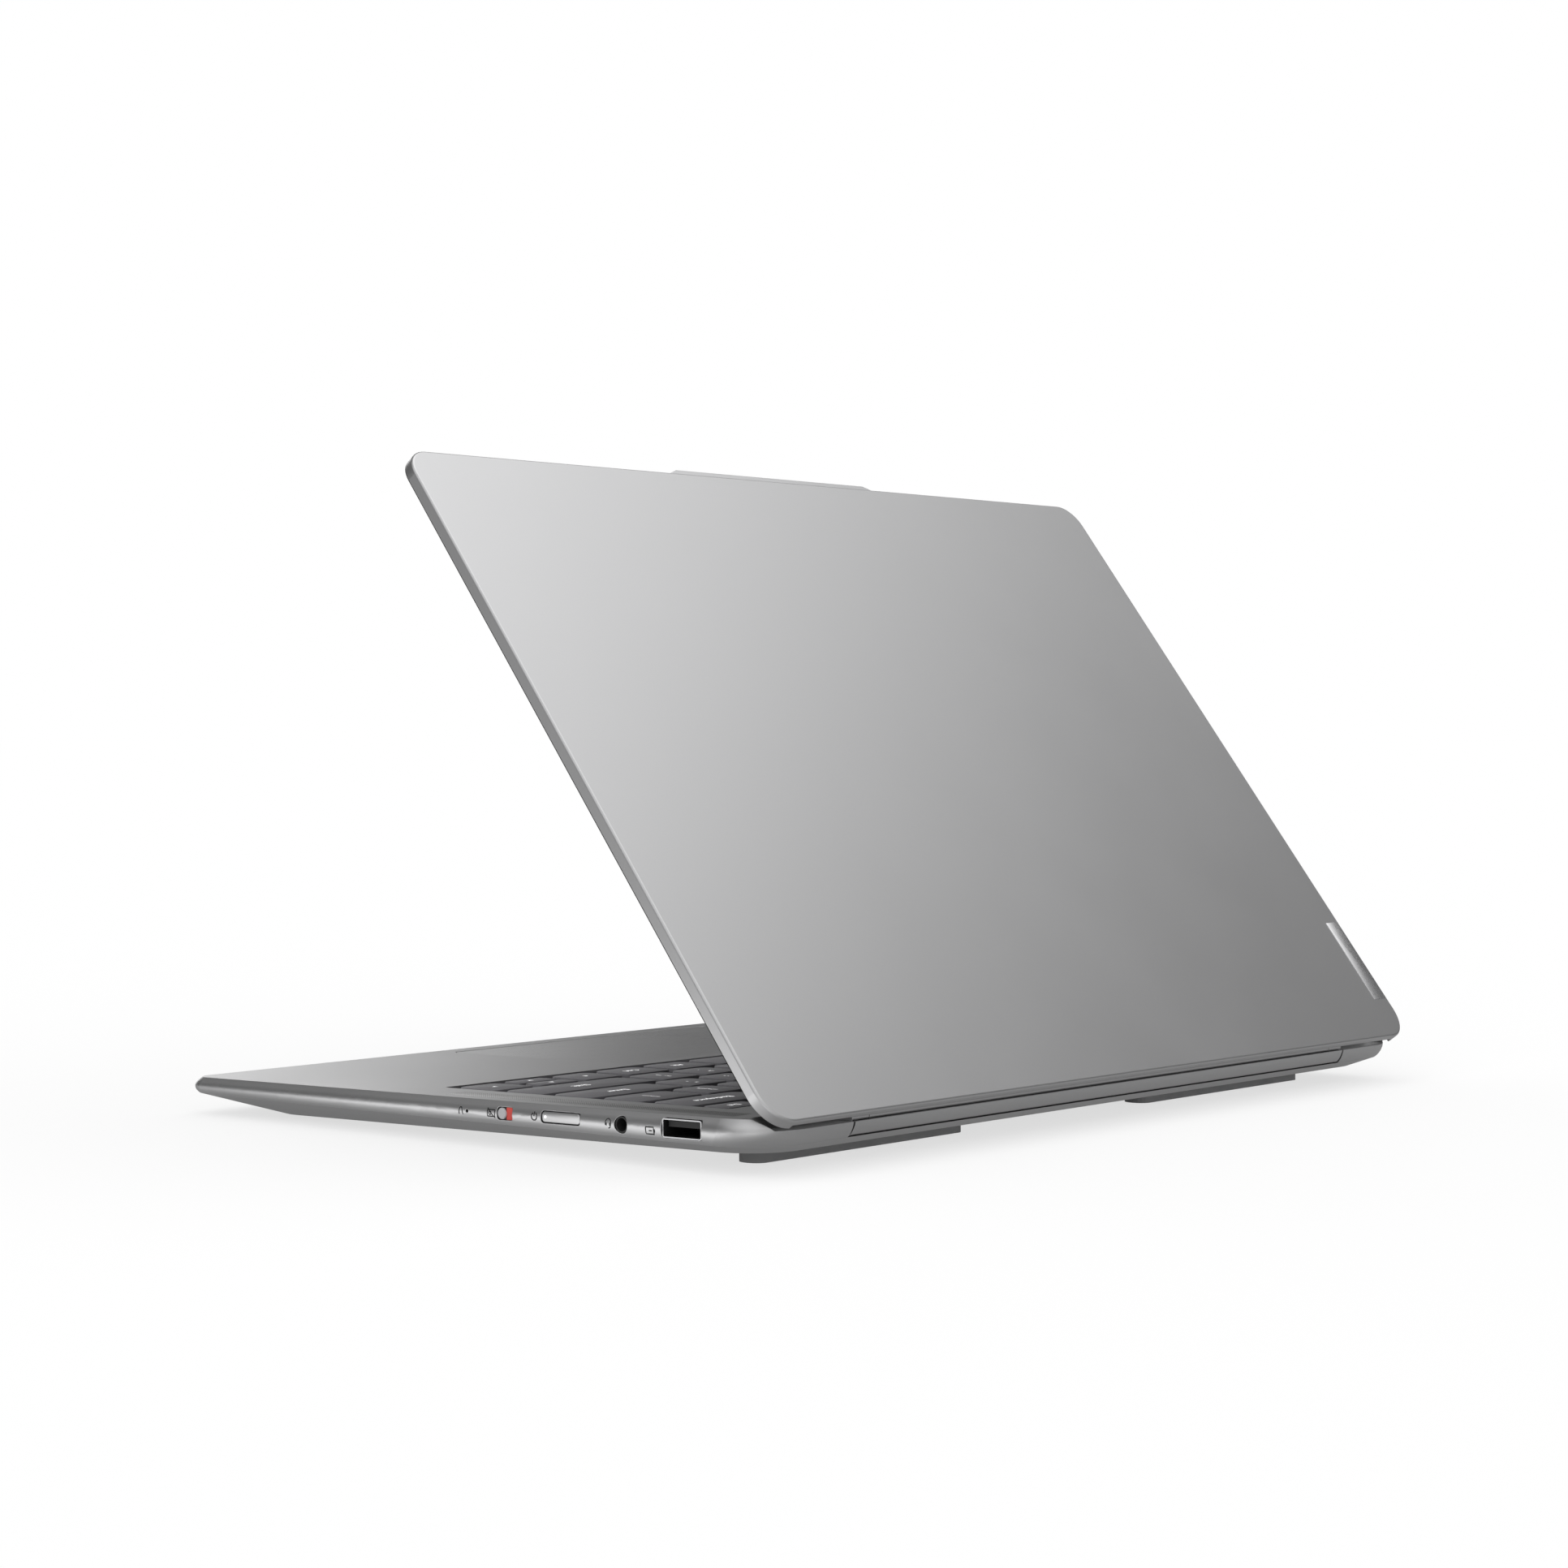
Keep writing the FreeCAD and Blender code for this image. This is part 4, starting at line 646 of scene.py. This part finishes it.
# Rear strip, drawn in at its two ends and its lower edge for plain shadow lines
SEAM_DRAW = 0.0005
SEAM_LIFT = 0.0004
low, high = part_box("hinge_cover_strip")
strip = bmesh.new()
strip.from_mesh(frame["nodes"]["hinge_cover_strip"].data)
bmesh.ops.remove_doubles(strip, verts=strip.verts, dist=1e-6)
drawn_in = (1 - SEAM_DRAW / high[0], 1, 1 - SEAM_LIFT / (high[2] - low[2]))
bmesh.ops.scale(strip, vec=drawn_in, space=Matrix.Translation((0, 0, -high[2])), verts=strip.verts)
finished("rear_strip", strip, Matrix.Identity(4), "base", ALUMINIUM,
         ("hinge_cover_strip",))

# Rubber seal around the screen, against the deck when shut
SEAL_INSET = 0.08
SEAL_WIDTH = 1.5
SEAL_X = (-HALF_WIDTH + SEAL_INSET, HALF_WIDTH - SEAL_INSET)
SEAL_Y = (-111.8 + SEAL_INSET, 106.65)
SEAL_Z = (10.3, 10.6)
SEAL_CORNER = 8.4
seal = outline(SEAL_X, SEAL_Y, SEAL_CORNER, SEAL_CORNER, 12)
rim = bmesh.ops.inset_region(seal, faces=seal.faces[:], thickness=SEAL_WIDTH, use_boundary=True,
                             use_even_offset=True)["faces"]
bmesh.ops.delete(seal, geom=[face for face in seal.faces if face not in rim], context="FACES")
bmesh.ops.solidify(seal, geom=seal.faces[:], thickness=SEAL_Z[1] - SEAL_Z[0])
sunk = SEAL_Z[0] - min(vertex.co.z for vertex in seal.verts)
bmesh.ops.translate(seal, vec=(0, 0, sunk), verts=seal.verts)
finished("screen_seal", seal, ON_LID, "lid", black_seal(), ("screen_gasket",))

# A plain plate at the lid's far edge
LID_TOP = 14.0
BADGE_X = (-162.0, -154.6)
BADGE_Y = (66.9, 97.4)
BADGE_Z = (LID_TOP - 0.05, LID_TOP + 0.12)
BADGE_CORNER = 0.3
badge = plate(BADGE_X, BADGE_Y, BADGE_Z, BADGE_CORNER, BADGE_CORNER, 0.06)
badge_metal = bare_metal("badge_metal", tone(0.76, 0.76, 0.77), tone(0.71, 0.71, 0.72), 0.28)
finished("badge_plate", badge, ON_LID, "lid", badge_metal)

# Floor
FLOOR_HALF = 20.0
floor_shape = bmesh.new()
bmesh.ops.create_grid(floor_shape, x_segments=1, y_segments=1, size=FLOOR_HALF)
floor_mesh = bpy.data.meshes.new("floor")
floor_shape.to_mesh(floor_mesh)
floor_shape.free()
# White paper. The camera sees it with a faint shadow, and reflections see it grey: brighter beside the
# right wall, and with a bright spot off the rear right corner
paper = Finish("floor_paper", specular_ior_level=0.0, roughness=1.0, emission_strength=1.0)
PAPER = 0.86
SHADED_PAPER = 0.34
MIRRORED_PAPER = 0.16
MIRRORED_GLOW = 0.23
SPOT = (0.21, 0.136, 0.0)
seen = paper.ray("Camera")
mirrored = paper.ray("Glossy")
rearward = paper.axis("y")
beside = paper.rise(paper.axis("x"), 0.158, 0.185) * (paper.rise(rearward, -0.16, -0.03) * 0.85 + 0.15)
beside = beside * (1.0 - paper.rise(rearward, 0.06, 0.1) * 0.7)
from_spot = paper.add("ShaderNodeVectorMath", {"operation": "DISTANCE"}, {0: paper.place(), 1: SPOT}, "Value")
spot = 1.0 - paper.rise(from_spot, 0.01, 0.035)
mirrored_paper = mirrored * (beside * 0.3 + (MIRRORED_PAPER - PAPER))
mirrored_glow = mirrored * (beside * 0.75 + spot * 0.4 + MIRRORED_GLOW)
paper.set(base_color=PAPER + seen * (SHADED_PAPER - PAPER) + mirrored_paper,
          emission_color=seen * (1 - SHADED_PAPER) + mirrored_glow)
floor_mesh.materials.append(paper.material)
floor = bpy.data.objects.new("floor", floor_mesh)
scene.collection.objects.link(floor)

# A white room. Reflections see it dim, with seven soft lamps; where they overlap, the brightest counts
world = bpy.data.worlds.new("studio")
scene.world = world
world.use_nodes = True
world.cycles.sampling_method = "NONE"
room = Nodes(world.node_tree)
sight = room.add("ShaderNodeTexCoord", output="Generated")
LAMPS = (
    # direction, brightness, and the cosines at the soft edge and at the core
    ((-0.4, 0.12, 0.905), 1.45, 0.8, 0.97),
    ((0.85, -0.53, -0.05), 0.25, 0.9, 0.98),
    ((0.86, 0.51, 0.02), 0.7, 0.955, 0.995),
    ((-0.475, -0.88, 0.06), 1.6, 0.935, 0.985),
    ((0.6, 0.4, 0.69), 0.75, 0.5, 0.97),
    ((0.1, 0.85, 0.52), 0.6, 0.6, 0.97),
    ((0.35, -0.1, 0.93), 0.45, 0.7, 0.97),
)
DIM = 0.16
level = 0.0
for direction, brightness, edge, core in LAMPS:
    facing = room.add("ShaderNodeVectorMath", {"operation": "DOT_PRODUCT"},
                      {0: sight, 1: Vector(direction).normalized()}, "Value")
    level = room.add("ShaderNodeMath", {"operation": "MAXIMUM"},
                     {0: room.rise(facing, edge, core) * brightness, 1: level})
reflected = room.ray("Glossy")
room.link(1.0 + reflected * (level + (DIM - 1.0)), world.node_tree.nodes["Background"].inputs["Color"])

# Camera, low behind the right rear corner
AZIMUTH = math.radians(131.077)
ELEVATION = math.radians(1.035)
back = Vector((math.sin(AZIMUTH) * math.cos(ELEVATION), -math.cos(AZIMUTH) * math.cos(ELEVATION),
               math.sin(ELEVATION)))
lens = bpy.data.cameras.new("camera")
lens.lens = 75.29
lens.sensor_width = 36.0
lens.shift_x = 0.0520
lens.clip_start = 0.01
camera = bpy.data.objects.new("camera", lens)
scene.collection.objects.link(camera)
camera.location = (0.79816, 0.644051, 0.115942)
camera.rotation_mode = "QUATERNION"
camera.rotation_quaternion = (-back).to_track_quat("-Z", "Y")
scene.camera = camera

scene.view_settings.view_transform = "Standard"
